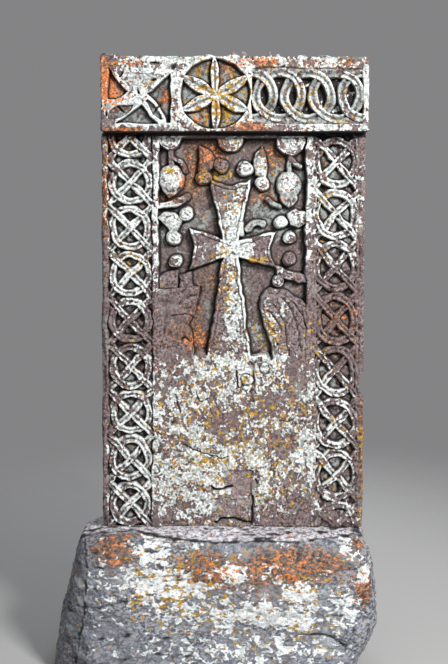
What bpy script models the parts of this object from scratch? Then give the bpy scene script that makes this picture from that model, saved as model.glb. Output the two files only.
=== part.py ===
"""Khachkar: a carved upright memorial slab under a projecting frieze, on a rough base block.

Metres, +Z up, carved face towards -Y. The origin is under the middle of the base block.
Everything on the slab is drawn lying flat on its face: local x runs to the right, local y
up from the foot, local z out of the face. One empty stands that drawing upright.
"""
import math

import bmesh
import bpy
from mathutils import Matrix, Vector, noise

# Slab
SLAB_WIDTH = 0.855
SLAB_HEIGHT = 1.523
SLAB_THICKNESS = 0.22
FOOT_NARROWING = 0.013
CORNICE_HEIGHT = 0.2425
CORNICE_PROJECTION = 0.045
CORNICE_OVERHANG = 0.002
CORNICE_LAP = 0.03
CORNER_RADIUS = 0.016

# Knotwork borders
LEFT_BORDER_WIDTH = 0.145
LEFT_EDGE_STRIP = 0.016
LEFT_PITCH = 0.1497
LEFT_FIRST_RING = 0.0105
LEFT_STRAND = 0.0195
RIGHT_BORDER_WIDTH = 0.152
RIGHT_EDGE_STRIP = 0.008
RIGHT_PITCH = 0.1697
RIGHT_FIRST_RING = 0.0965
RIGHT_STRAND = 0.0215
KNOT_DEPTH = 0.020
RING_CLEARANCE = 0.004
WEAVE_STEP = 0.0015

# Sunk field with the cross
FIELD_DEPTH = 0.030
FIELD_TOP_STRIP = 0.0145
FIELD_HEIGHT = 0.708
LEFT_INNER_STRIP = 0.019
RIGHT_INNER_STRIP = 0.0215
CROSS_DROP = 0.003
LEAF_DROP = 0.009
RIM_WIDTH = 0.011
RIM_DEPTH = 0.004

# Frieze
FRIEZE_TOP_STRIP = 0.038
FRIEZE_FOOT_STRIP = 0.0235
FRIEZE_LEFT_STRIP = 0.024
FRIEZE_RIGHT_STRIP = 0.016
FRIEZE_DEPTH = 0.018
FLOWER_PANEL_WIDTH = 0.2015
FLOWER_RIB = 0.027
ROSETTE_RADIUS = 0.112
ROSETTE_RISE = 0.0005
CHAIN_RIB = 0.0065
CHAIN_PITCH = 0.0912
CHAIN_BAND = 0.033

# Base block
BASE_WIDTH = 1.04
BASE_DEPTH = 0.52
BASE_HEIGHT = 0.46
BASE_CROWN = 0.008
BASE_ROUGHNESS = 0.014
SLAB_OFF_CENTRE = 0.066
FRONT_LEDGE = 0.14
SEAT_MARGIN = 0.006

# Shared
TOUCH_GAP = 0.0003
ROOT_SINK = 0.002
CIRCLE_SIDES = 12
RING_SIDES = 16

for old in list(bpy.data.objects):
    bpy.data.objects.remove(old, do_unlink=True)

scene_collection = bpy.context.scene.collection


def new_collection(name):
    collection = bpy.data.collections.new(name)
    scene_collection.children.link(collection)
    return collection


parts = new_collection("khachkar")
sunk = new_collection("sunk_panels")
raised = new_collection("raised_carving")
late = new_collection("late_cuts")
base_cuts = new_collection("base_cuts")

face_plane = bpy.data.objects.new("slab_face", None)
face_plane.location = (
    SLAB_OFF_CENTRE,
    FRONT_LEDGE - BASE_DEPTH / 2,
    BASE_HEIGHT + TOUCH_GAP,
)
face_plane.rotation_euler = (math.pi / 2, 0, 0)
scene_collection.objects.link(face_plane)


def add_object(name, mesh, collection, parent=None, place=(0, 0, 0), turn=0.0):
    """Puts a mesh in a collection; every helper solid is a wire that doesn't render."""
    obj = bpy.data.objects.new(name, mesh)
    collection.objects.link(obj)
    obj.parent = parent
    obj.location = place
    obj.rotation_euler = (0, 0, turn)
    if collection is not parts:
        obj.hide_render = True
        obj.display_type = "WIRE"
    return obj


def flat_mesh(name, loops, low, high):
    """Solid between two depths with the outline and holes given as loops of (x, y)."""
    curve = bpy.data.curves.new(name, "CURVE")
    curve.dimensions = "2D"
    curve.fill_mode = "BOTH"
    curve.extrude = (high - low) / 2
    for loop in loops:
        spline = curve.splines.new("POLY")
        spline.points.add(len(loop) - 1)
        for point, (x, y) in zip(spline.points, loop):
            point.co = (x, y, 0, 1)
        spline.use_cyclic_u = True
    holder = bpy.data.objects.new(name, curve)
    scene_collection.objects.link(holder)
    holder.location.z = (low + high) / 2
    bpy.context.view_layer.update()
    evaluated = holder.evaluated_get(bpy.context.evaluated_depsgraph_get())
    mesh = bpy.data.meshes.new_from_object(evaluated)
    mesh.transform(holder.matrix_world)
    bm = bmesh.new()
    bm.from_mesh(mesh)
    bmesh.ops.remove_doubles(bm, verts=bm.verts, dist=0.00005)
    bmesh.ops.recalc_face_normals(bm, faces=bm.faces)
    bm.to_mesh(mesh)
    bm.free()
    bpy.data.objects.remove(holder, do_unlink=True)
    bpy.data.curves.remove(curve)
    return mesh


def box_mesh(name, low, high):
    """Box between two opposite corners."""
    low, high = Vector(low), Vector(high)
    bm = bmesh.new()
    bmesh.ops.create_cube(bm, size=1.0)
    bmesh.ops.scale(bm, vec=high - low, verts=bm.verts)
    bmesh.ops.translate(bm, vec=(low + high) / 2, verts=bm.verts)
    mesh = bpy.data.meshes.new(name)
    bm.to_mesh(mesh)
    bm.free()
    return mesh


def arc(centre, radius, start, end, steps):
    """Points along an arc, angles in degrees, both ends included."""
    points = []
    for step in range(steps + 1):
        angle = math.radians(start + (end - start) * step / steps)
        points.append((centre[0] + radius * math.cos(angle), centre[1] + radius * math.sin(angle)))
    return points


def circle(centre, radius, sides=CIRCLE_SIDES):
    return arc(centre, radius, 0, 360, sides)[:-1]


def rectangle(left, bottom, right, top):
    return [(left, bottom), (right, bottom), (right, top), (left, top)]


def leaf(base, tip, width, fullness=0.8, steps=5):
    """Pointed leaf between two points, widest at the middle."""
    base, tip = Vector(base), Vector(tip)
    side = (tip - base).orthogonal().normalized() * width / 2
    right, left = [], []
    for step in range(1, steps):
        share = step / steps
        swell = math.sin(math.pi * share) ** fullness
        right.append(base.lerp(tip, share) + side * swell)
        left.append(base.lerp(tip, share) - side * swell)
    return [tuple(p) for p in [base, *right, tip, *reversed(left)]]


def ribbon(start, bend, end, width, steps=6):
    """Strip of even width along a curve pulled towards its middle point."""
    start, bend, end = Vector(start), Vector(bend), Vector(end)
    right, left = [], []
    for step in range(steps + 1):
        t = step / steps
        point = start * (1 - t) ** 2 + bend * 2 * t * (1 - t) + end * t**2
        heading = ((bend - start) * (1 - t) + (end - bend) * t).normalized()
        side = heading.orthogonal() * width / 2
        right.append(point + side)
        left.append(point - side)
    return [tuple(p) for p in [*right, *reversed(left)]]


def flared_arm(root, tip, root_half, tip_half, hollow, inset=0.0, steps=5):
    """Cross arm that widens from its root to a hollow end."""
    root, tip = Vector(root), Vector(tip)
    length = (tip - root).length
    along = (tip - root) / length
    across = along.orthogonal()
    start = inset * 2.5 / length
    right, left = [], []
    for step in range(steps + 1):
        share = start + (1 - inset / length - start) * step / steps
        half = root_half + (tip_half - root_half) * share**0.8 - inset
        right.append(root + along * length * share + across * half)
        left.append(root + along * length * share - across * half)
    end = []
    for step in range(1, 4):
        swing = step / 4
        dip = hollow * math.sin(math.pi * swing)
        end.append(right[-1].lerp(left[-1], swing) - along * dip)
    return [tuple(p) for p in [*right, *end, *reversed(left)]]


def carve(name, outline, low, high, collection, holes=()):
    """Extruded outline on the slab's face, as a raised form or a cutter."""
    mesh = flat_mesh(name, [outline, *holes], low, high)
    return add_object(name, mesh, collection, face_plane)


def stone_material(name, colour):
    material = bpy.data.materials.new(name)
    material.use_nodes = True
    shader = material.node_tree.nodes["Principled BSDF"]
    shader.inputs["Base Color"].default_value = (*colour, 1)
    shader.inputs["Roughness"].default_value = 0.9
    shader.inputs["Metallic"].default_value = 0.0
    material.diffuse_color = (*colour, 1)
    return material


def add_boolean(obj, collection, operation):
    modifier = obj.modifiers.new(collection.name, "BOOLEAN")
    modifier.operand_type = "COLLECTION"
    modifier.collection = collection
    modifier.operation = operation
    modifier.solver = "EXACT"
    return modifier


# Places on the slab's face
SLAB_LEFT = -SLAB_WIDTH / 2
SLAB_RIGHT = SLAB_WIDTH / 2
CORNICE_BOTTOM = SLAB_HEIGHT - CORNICE_HEIGHT
LEFT_BORDER_LEFT = SLAB_LEFT + LEFT_EDGE_STRIP
LEFT_BORDER_RIGHT = LEFT_BORDER_LEFT + LEFT_BORDER_WIDTH
RIGHT_BORDER_RIGHT = SLAB_RIGHT - FOOT_NARROWING - RIGHT_EDGE_STRIP
RIGHT_BORDER_LEFT = RIGHT_BORDER_RIGHT - RIGHT_BORDER_WIDTH
FIELD_LEFT = LEFT_BORDER_RIGHT + LEFT_INNER_STRIP
FIELD_RIGHT = RIGHT_BORDER_LEFT - RIGHT_INNER_STRIP
FIELD_TOP = CORNICE_BOTTOM - FIELD_TOP_STRIP
FIELD_BOTTOM = FIELD_TOP - FIELD_HEIGHT
FIELD_WIDTH = FIELD_RIGHT - FIELD_LEFT


def make_slab():
    """Plain upright block, a little narrower at the foot on its right side."""
    top = CORNICE_BOTTOM + CORNICE_LAP
    outline = [
        (SLAB_LEFT, 0),
        (SLAB_RIGHT - FOOT_NARROWING, 0),
        (SLAB_RIGHT, top),
        (SLAB_LEFT, top),
    ]
    mesh = flat_mesh("carved_slab", [outline], -SLAB_THICKNESS, 0)
    slab = add_object("carved_slab", mesh, parts, face_plane)
    mesh.materials.append(stone_material("mauve_tuff", (0.20, 0.145, 0.15)))
    return slab


def make_cornice():
    """Projecting head of the same stone, with a worn upper right corner."""
    left = SLAB_LEFT - CORNICE_OVERHANG
    right = SLAB_RIGHT + CORNICE_OVERHANG
    corner = (right - CORNER_RADIUS, SLAB_HEIGHT - CORNER_RADIUS)
    outline = [
        (left, CORNICE_BOTTOM),
        (right, CORNICE_BOTTOM),
        *arc(corner, CORNER_RADIUS, 0, 90, 3),
        (left, SLAB_HEIGHT),
    ]
    back = -SLAB_THICKNESS - CORNICE_OVERHANG
    return carve("cornice", outline, back, CORNICE_PROJECTION, cornice_holder)


def make_border(side, left, width, pitch, first_ring, strand):
    """Column of rings, each crossed by two straps that bounce between the border's edges."""
    right = left + width
    middle = (left + right) / 2
    top = CORNICE_BOTTOM - ROOT_SINK
    panel = rectangle(left, -ROOT_SINK, right, top)
    carve(f"{side}_border_panel", panel, -KNOT_DEPTH, KNOT_DEPTH / 2, sunk)

    floor = -KNOT_DEPTH - ROOT_SINK
    ring_radius = min(pitch, width) / 2 - RING_CLEARANCE
    ring = flat_mesh(
        f"{side}_ring",
        [circle((0, 0), ring_radius, RING_SIDES), circle((0, 0), ring_radius - strand, RING_SIDES)],
        floor,
        -WEAVE_STEP,
    )
    reach = width / 2
    half_length = math.hypot(reach, pitch / 2) + strand / 3
    slope = math.atan2(pitch / 2, reach)
    rising, falling = (
        box_mesh(
            f"{side}_strap_{index}",
            (-half_length, -strand / 2, floor),
            (half_length, strand / 2, -WEAVE_STEP * (index + 1)),
        )
        for index in (1, 2)
    )
    height = CORNICE_BOTTOM - first_ring
    while height > -pitch / 2:
        place = (middle, height, 0)
        add_object(f"{side}_ring", ring, raised, face_plane, place)
        add_object(f"{side}_rising_strap", rising, raised, face_plane, place, slope)
        add_object(f"{side}_falling_strap", falling, raised, face_plane, place, -slope)
        height -= pitch


def field_spot(across, down):
    """Point in the sunk field, as shares of its width and of its height from the top."""
    return (FIELD_LEFT + across * FIELD_WIDTH, FIELD_TOP - down * FIELD_HEIGHT)


def field_form(name, outline, drop=LEAF_DROP, holes=()):
    """Form that stands up from the floor of the field."""
    return carve(name, outline, -FIELD_DEPTH - ROOT_SINK, -drop, raised, holes)


def make_field():
    """Sunk field in the upper part of the slab."""
    outline = rectangle(FIELD_LEFT, FIELD_BOTTOM, FIELD_RIGHT, FIELD_TOP)
    carve("field_panel", outline, -FIELD_DEPTH, FIELD_DEPTH / 2, sunk)


def make_cross():
    """Four flared arms with a raised rim, and knobs and leaves at their ends.

    The lower arm runs into the foot of the field, and the other three have hollow ends.
    """
    centre = field_spot(0.487, 0.514)
    root_half = 0.042 * FIELD_WIDTH
    hollow = 0.035 * FIELD_WIDTH
    arms = [
        ("top", (0.481, 0.197), 0.137, hollow),
        ("left", (0.205, 0.514), 0.143, hollow),
        ("right", (0.799, 0.516), 0.117, hollow),
        ("lower", (0.478, 1.006), 0.146, 0.0),
    ]
    for step, (name, tip_shares, tip_share, dish) in enumerate(arms):
        tip = field_spot(*tip_shares)
        tip_half = tip_share * FIELD_WIDTH
        drop = CROSS_DROP + step * WEAVE_STEP / 4
        field_form(f"cross_{name}_arm", flared_arm(centre, tip, root_half, tip_half, dish), drop)
        panel = flared_arm(centre, tip, root_half, tip_half, dish, RIM_WIDTH)
        carve(f"cross_{name}_panel", panel, -drop - RIM_DEPTH, 0, late)

    knobs = [
        (0.299, 0.185, 0.047), (0.426, 0.132, 0.047), (0.584, 0.147, 0.050), (0.698, 0.211, 0.047),
        (0.161, 0.353, 0.050), (0.107, 0.459, 0.050), (0.117, 0.573, 0.042), (0.201, 0.583, 0.042),
        (0.826, 0.394, 0.044), (0.893, 0.463, 0.042), (0.893, 0.564, 0.044), (0.805, 0.661, 0.037),
    ]
    for across, down, radius in knobs:
        outline = circle(field_spot(across, down), radius * FIELD_WIDTH, 10)
        field_form("arm_knob", outline, CROSS_DROP + WEAVE_STEP)

    leaves = [
        ((0.370, 0.175), (0.275, 0.041), 0.16),
        ((0.628, 0.190), (0.691, 0.050), 0.15),
        ((0.150, 0.425), (0.007, 0.365), 0.14),
        ((0.170, 0.560), (0.020, 0.690), 0.15),
        ((0.830, 0.440), (0.995, 0.365), 0.12),
        ((0.800, 0.590), (0.993, 0.660), 0.13),
    ]
    for base, tip, width in leaves:
        field_form("arm_leaf", leaf(field_spot(*base), field_spot(*tip), width * FIELD_WIDTH))


def make_field_ornament():
    """Scallops, hanging bunches, tendrils and the two half palmettes beside the cross's foot."""
    for across, down, radius in [(0.074, 0.0, 0.085), (0.497, 0.005, 0.090), (0.899, 0.015, 0.097)]:
        field_form("scallop", circle(field_spot(across, down), radius * FIELD_WIDTH), LEAF_DROP / 2)

    bunches = [
        ("left", (0.087, 0.188), (0.081, 0.030), (0.074, 0.275), 0.092),
        ("right", (0.879, 0.216), (0.893, 0.060), (0.879, 0.321), 0.088),
    ]
    for side, middle, stem, foot, radius in bunches:
        middle, stem, foot = field_spot(*middle), field_spot(*stem), field_spot(*foot)
        field_form(f"{side}_bunch", circle(middle, radius * FIELD_WIDTH), LEAF_DROP / 2)
        field_form(f"{side}_bunch_foot", leaf(middle, foot, 0.11 * FIELD_WIDTH), LEAF_DROP)
        stalk = ribbon(stem, Vector(stem).lerp(Vector(middle), 0.5), middle, 0.035 * FIELD_WIDTH, 1)
        field_form(f"{side}_bunch_stem", stalk, LEAF_DROP * 1.2)

    curls = [
        ("left_curl", (0.095, 0.095), (0.150, 0.100), (0.180, 0.155), 0.030),
        ("right_curl", (0.960, 0.130), (0.930, 0.130), (0.905, 0.100), 0.030),
        ("left_shelf", (-0.010, 0.318), (0.100, 0.310), (0.185, 0.272), 0.050),
        ("right_tendril", (0.735, 0.280), (0.765, 0.315), (0.815, 0.318), 0.040),
        ("arm_bud", (0.556, 0.380), (0.560, 0.410), (0.562, 0.450), 0.035),
        ("side_bud", (0.604, 0.425), (0.640, 0.375), (0.705, 0.400), 0.050),
    ]
    for name, start, bend, end, width in curls:
        outline = ribbon(field_spot(*start), field_spot(*bend), field_spot(*end), width * FIELD_WIDTH)
        field_form(name, outline, LEAF_DROP * 0.7)

    right_edge = [
        (0.693, 0.731), (0.720, 0.700), (0.758, 0.691), (0.840, 0.705), (0.920, 0.735), (1.020, 0.775),
        (1.020, 1.010), (0.772, 1.010), (0.758, 0.940), (0.736, 0.880), (0.715, 0.830), (0.685, 0.780),
    ]
    field_form("right_palmette", [field_spot(*corner) for corner in right_edge], LEAF_DROP / 2)
    grooves = [
        ((0.750, 0.720), (0.930, 0.730), (0.975, 0.960)),
        ((0.745, 0.760), (0.860, 0.770), (0.880, 0.960)),
    ]
    for start, bend, end in grooves:
        outline = ribbon(field_spot(*start), field_spot(*bend), field_spot(*end), 0.018 * FIELD_WIDTH)
        carve("palmette_groove", outline, -FIELD_DEPTH / 2, 0, late)
    eye = circle(field_spot(0.785, 0.889), 0.022 * FIELD_WIDTH, 8)
    carve("palmette_eye", eye, -FIELD_DEPTH / 2, 0, late)

    edge = [field_spot(-0.02, 0.700), field_spot(0.120, 0.690)]
    for down, reach in [(0.748, 0.255), (0.812, 0.242), (0.885, 0.215), (0.960, 0.225)]:
        lobe = arc(field_spot(reach - 0.045, down), 0.052 * FIELD_WIDTH, 70, -70, 4)
        edge.extend(lobe)
    edge.extend([field_spot(0.200, 1.010), field_spot(-0.02, 1.010)])
    field_form("left_palmette", edge, LEAF_DROP)


# Places on the frieze
FRIEZE_TOP = SLAB_HEIGHT - FRIEZE_TOP_STRIP
FRIEZE_FOOT = CORNICE_BOTTOM + FRIEZE_FOOT_STRIP
FRIEZE_MIDDLE = (FRIEZE_TOP + FRIEZE_FOOT) / 2
FLOWER_LEFT = SLAB_LEFT + FRIEZE_LEFT_STRIP
FLOWER_RIGHT = FLOWER_LEFT + FLOWER_PANEL_WIDTH
ROSETTE_CENTRE = (
    FLOWER_RIGHT + FLOWER_RIB + ROSETTE_RADIUS,
    CORNICE_BOTTOM + CORNICE_HEIGHT / 2 + ROSETTE_RISE,
)
CHAIN_LEFT = ROSETTE_CENTRE[0] + ROSETTE_RADIUS + CHAIN_RIB
CHAIN_RIGHT = SLAB_RIGHT - FRIEZE_RIGHT_STRIP


def frieze_form(name, outline, step=0, holes=()):
    floor = CORNICE_PROJECTION - FRIEZE_DEPTH - ROOT_SINK
    return carve(name, outline, floor, CORNICE_PROJECTION - WEAVE_STEP * (1 + step), raised, holes)


def frieze_panel(name, outline):
    floor = CORNICE_PROJECTION - FRIEZE_DEPTH
    carve(name, outline, floor, CORNICE_PROJECTION + FRIEZE_DEPTH, sunk)


def make_flower_panel():
    """Square panel: two lower petals under a broad bowl that fills the upper half."""
    middle = (FLOWER_LEFT + FLOWER_RIGHT) / 2
    width = FLOWER_PANEL_WIDTH
    height = FRIEZE_TOP - FRIEZE_FOOT
    frieze_panel("flower_panel", rectangle(FLOWER_LEFT, FRIEZE_FOOT, FLOWER_RIGHT, FRIEZE_TOP))
    for side in (-1, 1):
        corner = (middle + side * width * 0.56, FRIEZE_FOOT - height * 0.06)
        root = (middle - side * width * 0.06, FRIEZE_MIDDLE + height * 0.08)
        frieze_form("lower_petal", leaf(root, corner, 0.38 * width))
        slot_start = Vector(root).lerp(Vector(corner), 0.42)
        slot_end = Vector(root).lerp(Vector(corner), 0.66)
        slot = leaf(slot_start, slot_end, 0.06 * width)
        top = CORNICE_PROJECTION + FRIEZE_DEPTH
        carve("petal_slot", slot, CORNICE_PROJECTION - FRIEZE_DEPTH / 2, top, late)
    left_end, right_end = FLOWER_LEFT - ROOT_SINK, FLOWER_RIGHT + ROOT_SINK
    rim, foot = FRIEZE_TOP + ROOT_SINK, FRIEZE_MIDDLE + height * 0.06
    bowl = [
        (left_end, FRIEZE_TOP - height * 0.02),
        (middle - width * 0.20, foot),
        (middle + width * 0.19, foot + height * 0.02),
        (right_end, FRIEZE_TOP - height * 0.10),
        (right_end, rim),
        (left_end, rim),
    ]
    frieze_form("bowl", bowl, 1)


def make_rosette():
    """Six petals in a sunk disc, the upright pair narrow and the others full."""
    frieze_panel("rosette_panel", circle(ROSETTE_CENTRE, ROSETTE_RADIUS, 20))
    frieze_form("rosette_hub", circle(ROSETTE_CENTRE, ROSETTE_RADIUS * 0.13, 8))
    for index, angle in enumerate((90, 152, 207, 270, 333, 28)):
        heading = Vector((math.cos(math.radians(angle)), math.sin(math.radians(angle))))
        tip = Vector(ROSETTE_CENTRE) + heading * (ROSETTE_RADIUS + CHAIN_RIB / 2)
        width = 0.27 if angle in (90, 270) else 0.33
        outline = leaf(ROSETTE_CENTRE, tip, width * ROSETTE_RADIUS, 0.5)
        frieze_form("rosette_petal", outline, 1 + index / 6)


def chain_ring(centre, outer, inner):
    """Ring of the chain; where it would pass the panel's end it stops in the plain strip."""
    middle = (centre, FRIEZE_MIDDLE)
    left_room = centre - CHAIN_LEFT + CHAIN_RIB / 2
    right_room = CHAIN_RIGHT + FRIEZE_RIGHT_STRIP / 2 - centre
    if min(left_room, right_room) >= outer:
        return circle(middle, outer, RING_SIDES), [circle(middle, inner, RING_SIDES)]
    if right_room < left_room:
        turn = math.degrees(math.acos(right_room / outer))
        sweep = (turn, 360 - turn)
    else:
        turn = math.degrees(math.acos(-left_room / outer))
        sweep = (-turn, turn)
    steps = RING_SIDES * 2 // 3
    outer_arc = arc(middle, outer, *sweep, steps)
    return [*outer_arc, *reversed(arc(middle, inner, *sweep, steps))], []


def make_chain():
    """Row of interlaced rings between the rosette and the right end."""
    frieze_panel("chain_panel", rectangle(CHAIN_LEFT, FRIEZE_FOOT, CHAIN_RIGHT, FRIEZE_TOP))
    outer = (FRIEZE_TOP - FRIEZE_FOOT) / 2 + ROOT_SINK
    inner = outer - CHAIN_BAND
    centre = CHAIN_RIGHT + CHAIN_RIB
    step = 0
    while centre > CHAIN_LEFT - CHAIN_RIB * 2:
        outline, holes = chain_ring(centre, outer, inner)
        frieze_form("chain_ring", outline, step % 2, holes)
        centre -= CHAIN_PITCH
        step += 1


def make_damage():
    """Broken edges, the broken patch with its slits in the lower panel, and the square foot."""
    face = SLAB_THICKNESS / 4
    wide = 2 * SLAB_WIDTH
    foot_trim = rectangle(-wide / 2, -SLAB_WIDTH, wide / 2, 0)
    carve("foot_trim", foot_trim, -2 * SLAB_THICKNESS, SLAB_THICKNESS, late)

    lower_panel_height = FIELD_BOTTOM
    broken = [
        ("broken_patch", (0.46, 0.14), (0.64, 0.26), 0.004),
        ("patch_slit", (0.36, 0.150), (0.50, 0.170), 0.012),
        ("foot_slit", (0.34, 0.010), (0.66, 0.028), 0.014),
        ("upright_slit", (0.635, 0.020), (0.660, 0.100), 0.012),
        ("old_slot", (0.58, 0.88), (0.61, 0.985), 0.010),
    ]
    for name, low, high, depth in broken:
        left, right = (FIELD_LEFT + share * FIELD_WIDTH for share in (low[0], high[0]))
        bottom, top = (share * lower_panel_height for share in (low[1], high[1]))
        tilt = (right - left) * 0.06
        outline = [(left, bottom), (right, bottom - tilt), (right, top - tilt), (left, top)]
        carve(name, outline, -depth, face, late)

    notch = [
        (SLAB_RIGHT + CORNER_RADIUS, 0.425),
        (SLAB_RIGHT - 0.020, 0.447),
        (SLAB_RIGHT - 0.022, 0.480),
        (SLAB_RIGHT + CORNER_RADIUS, 0.503),
    ]
    carve("edge_notch", notch, -SLAB_THICKNESS * 0.55, face, late)

    chips = [
        (SLAB_LEFT, 0.070, 0.055, 0.9),
        (SLAB_LEFT - 0.004, 0.335, 0.110, 0.15),
        (SLAB_LEFT - 0.003, 0.012, 0.060, 0.6),
    ]
    for place, height_share, size, turn in chips:
        cube = box_mesh("chip", (-size / 2,) * 3, (size / 2,) * 3)
        chip = add_object("chip", cube, late, face_plane, (place, height_share * SLAB_HEIGHT, size * 0.3))
        chip.rotation_euler = (0.5, math.pi / 4, turn)


def fit_across(verts, axis, size):
    """Centres what stands above the ground along one axis and brings it to its full size."""
    places = [vert.co[axis] for vert in verts if vert.co.z > 0]
    middle = (max(places) + min(places)) / 2
    scale = size / (max(places) - min(places))
    for vert in verts:
        vert.co[axis] = (vert.co[axis] - middle) * scale


def lump(point):
    """Push of the rough stone at one point, from a noise of its own along each axis."""
    return Vector([noise.noise(point + Vector((0.37, 5.21, 9.43)) * axis) for axis in range(3)])


def make_base():
    """Undressed block: a subdivided cube pushed out, rounded and roughened, cut flat below."""
    spare = 2 * BASE_ROUGHNESS
    bm = bmesh.new()
    bmesh.ops.create_cube(bm, size=2.0)
    bmesh.ops.subdivide_edges(bm, edges=bm.edges, cuts=8, use_grid_fill=True)
    for vert in bm.verts:
        x, y, z = vert.co
        rise = (z + 1) / 2
        rounding = 1 - 0.07 * (x * y) ** 4 - 0.03 * (y * z) ** 6 - 0.03 * (1 - rise) ** 12
        left = 1.0 - 0.16 * rise - 0.02 * rise**12
        undercut = max(0.0, 1 - rise / 0.36)
        right = 1.01 - 0.16 * undercut**0.6 - 0.09 * rise**10
        left_corner = min(1.0, max(0.0, (-x - 0.76) / 0.24))
        front = 1.0 - 0.07 * rise**8 - 0.04 * (1 - rise) - 0.24 * left_corner * (1 - 0.7 * rise)
        left_end = min(1.0, max(0.0, (-x - 0.62) / 0.38))
        back = 1.0 - 0.85 * rise * left_end
        shoulder = 0.035 * x**6 + 0.03 * max(0.0, -y) ** 6 + 0.04 * max(0.0, y) ** 3
        shoulder += 0.05 * left_end * (y + 1) / 2
        point = Vector((
            x * (left if x < 0 else right) * rounding * BASE_WIDTH / 2,
            y * (front if y < 0 else back) * rounding * BASE_DEPTH / 2,
            rise * (BASE_HEIGHT + BASE_CROWN - shoulder * BASE_HEIGHT * rise) - spare * (1 - rise),
        ))
        lumps = lump(point * 5.0) + 0.5 * lump(point * 13.0)
        lumps.z *= 1 - rise**4
        vert.co = point + lumps * BASE_ROUGHNESS
    fit_across(bm.verts, 0, BASE_WIDTH)
    fit_across(bm.verts, 1, BASE_DEPTH)
    mesh = bpy.data.meshes.new("base_block")
    bm.to_mesh(mesh)
    bm.free()
    mesh.shade_smooth()
    mesh.set_sharp_from_angle(angle=math.radians(35))
    mesh.materials.append(stone_material("grey_basalt", (0.19, 0.16, 0.165)))
    base = add_object("base_block", mesh, parts)

    reach = 2 * BASE_WIDTH
    ground = box_mesh("ground_cut", (-reach, -reach, -reach), (reach, reach, 0))
    add_object("ground_cut", ground, base_cuts)
    seat = box_mesh(
        "seat_cut",
        (SLAB_LEFT - SEAT_MARGIN, -SEAT_MARGIN, -SLAB_THICKNESS - SEAT_MARGIN),
        (SLAB_RIGHT + SEAT_MARGIN, SLAB_HEIGHT / 4, SEAT_MARGIN),
    )
    seat.transform(Matrix.Translation((0, SEAT_MARGIN - TOUCH_GAP, 0)))
    add_object("seat_cut", seat, base_cuts, face_plane)
    add_boolean(base, base_cuts, "DIFFERENCE")
    return base


cornice_holder = new_collection("cornice_head")
slab_object = make_slab()
make_cornice()
make_border("left", LEFT_BORDER_LEFT, LEFT_BORDER_WIDTH, LEFT_PITCH, LEFT_FIRST_RING, LEFT_STRAND)
make_border(
    "right", RIGHT_BORDER_LEFT, RIGHT_BORDER_WIDTH, RIGHT_PITCH, RIGHT_FIRST_RING, RIGHT_STRAND
)
make_field()
make_cross()
make_field_ornament()
make_flower_panel()
make_rosette()
make_chain()
make_damage()
add_boolean(slab_object, cornice_holder, "UNION")
add_boolean(slab_object, sunk, "DIFFERENCE")
add_boolean(slab_object, raised, "UNION")
add_boolean(slab_object, late, "DIFFERENCE")
make_base()
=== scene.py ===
import itertools
import math

import bpy
import numpy as np
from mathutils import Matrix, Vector


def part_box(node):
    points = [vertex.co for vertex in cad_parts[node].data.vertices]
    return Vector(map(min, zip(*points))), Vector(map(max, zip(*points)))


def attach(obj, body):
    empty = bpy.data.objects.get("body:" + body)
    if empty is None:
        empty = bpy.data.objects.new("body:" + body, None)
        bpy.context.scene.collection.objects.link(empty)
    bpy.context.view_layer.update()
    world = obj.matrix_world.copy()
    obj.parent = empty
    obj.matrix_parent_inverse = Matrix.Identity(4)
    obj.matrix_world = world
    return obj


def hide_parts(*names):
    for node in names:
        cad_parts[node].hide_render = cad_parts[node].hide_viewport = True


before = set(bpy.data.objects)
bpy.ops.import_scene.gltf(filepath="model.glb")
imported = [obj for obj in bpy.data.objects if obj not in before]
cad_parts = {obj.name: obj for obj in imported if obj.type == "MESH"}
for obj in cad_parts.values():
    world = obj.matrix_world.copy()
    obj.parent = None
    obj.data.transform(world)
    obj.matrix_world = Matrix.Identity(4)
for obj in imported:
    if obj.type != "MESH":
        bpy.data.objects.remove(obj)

scene = bpy.context.scene
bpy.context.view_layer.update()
slab_low, slab_high = (np.array(corner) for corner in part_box("carved_slab"))
base_low, base_high = (np.array(corner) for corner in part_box("base_block"))

# The camera stands level in front of the slab, about 1.4 m above the ground, and its frame is
# shifted down to take in the base. All distances are read from the slab's own face.
cornice_projection = 0.045
slab_middle = (slab_low[0] + slab_high[0]) / 2
slab_face = slab_low[1] + cornice_projection
slab_foot = slab_low[2]
camera_distance = 2.8
eye_aside, eye_height = 0.0065, 0.9555
metres_per_pixel = 0.00325
horizon_pixel = (232.5, 233.0)
frame_pixels = (448, 664)


def placed(name, data):
    """New object in the scene that shows the data."""
    made = bpy.data.objects.new(name, data)
    scene.collection.objects.link(made)
    return made


lens_data = bpy.data.cameras.new("camera")
lens_data.sensor_fit = "HORIZONTAL"
lens_data.sensor_width = 36.0
lens_data.lens = camera_distance / metres_per_pixel / frame_pixels[0] * lens_data.sensor_width
lens_data.shift_x = (frame_pixels[0] / 2 - horizon_pixel[0]) / frame_pixels[0]
lens_data.shift_y = (horizon_pixel[1] - frame_pixels[1] / 2) / frame_pixels[0]
camera = placed("camera", lens_data)
camera.location = (slab_middle - eye_aside, slab_face - camera_distance, slab_foot + eye_height)
camera.rotation_euler = (math.pi / 2, 0, 0)
scene.camera = camera

# A plain pale floor that fades into the backdrop, one soft key light high on the right and
# two weak fills, so that the carving throws its shadows down to the left.
scene.view_settings.view_transform = "Standard"
world = bpy.data.worlds.new("backdrop")
scene.world = world
world.use_nodes = True
world.node_tree.nodes["Background"].inputs["Color"].default_value = (0.23, 0.23, 0.235, 1)
world.node_tree.nodes["Background"].inputs["Strength"].default_value = 1.0


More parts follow.
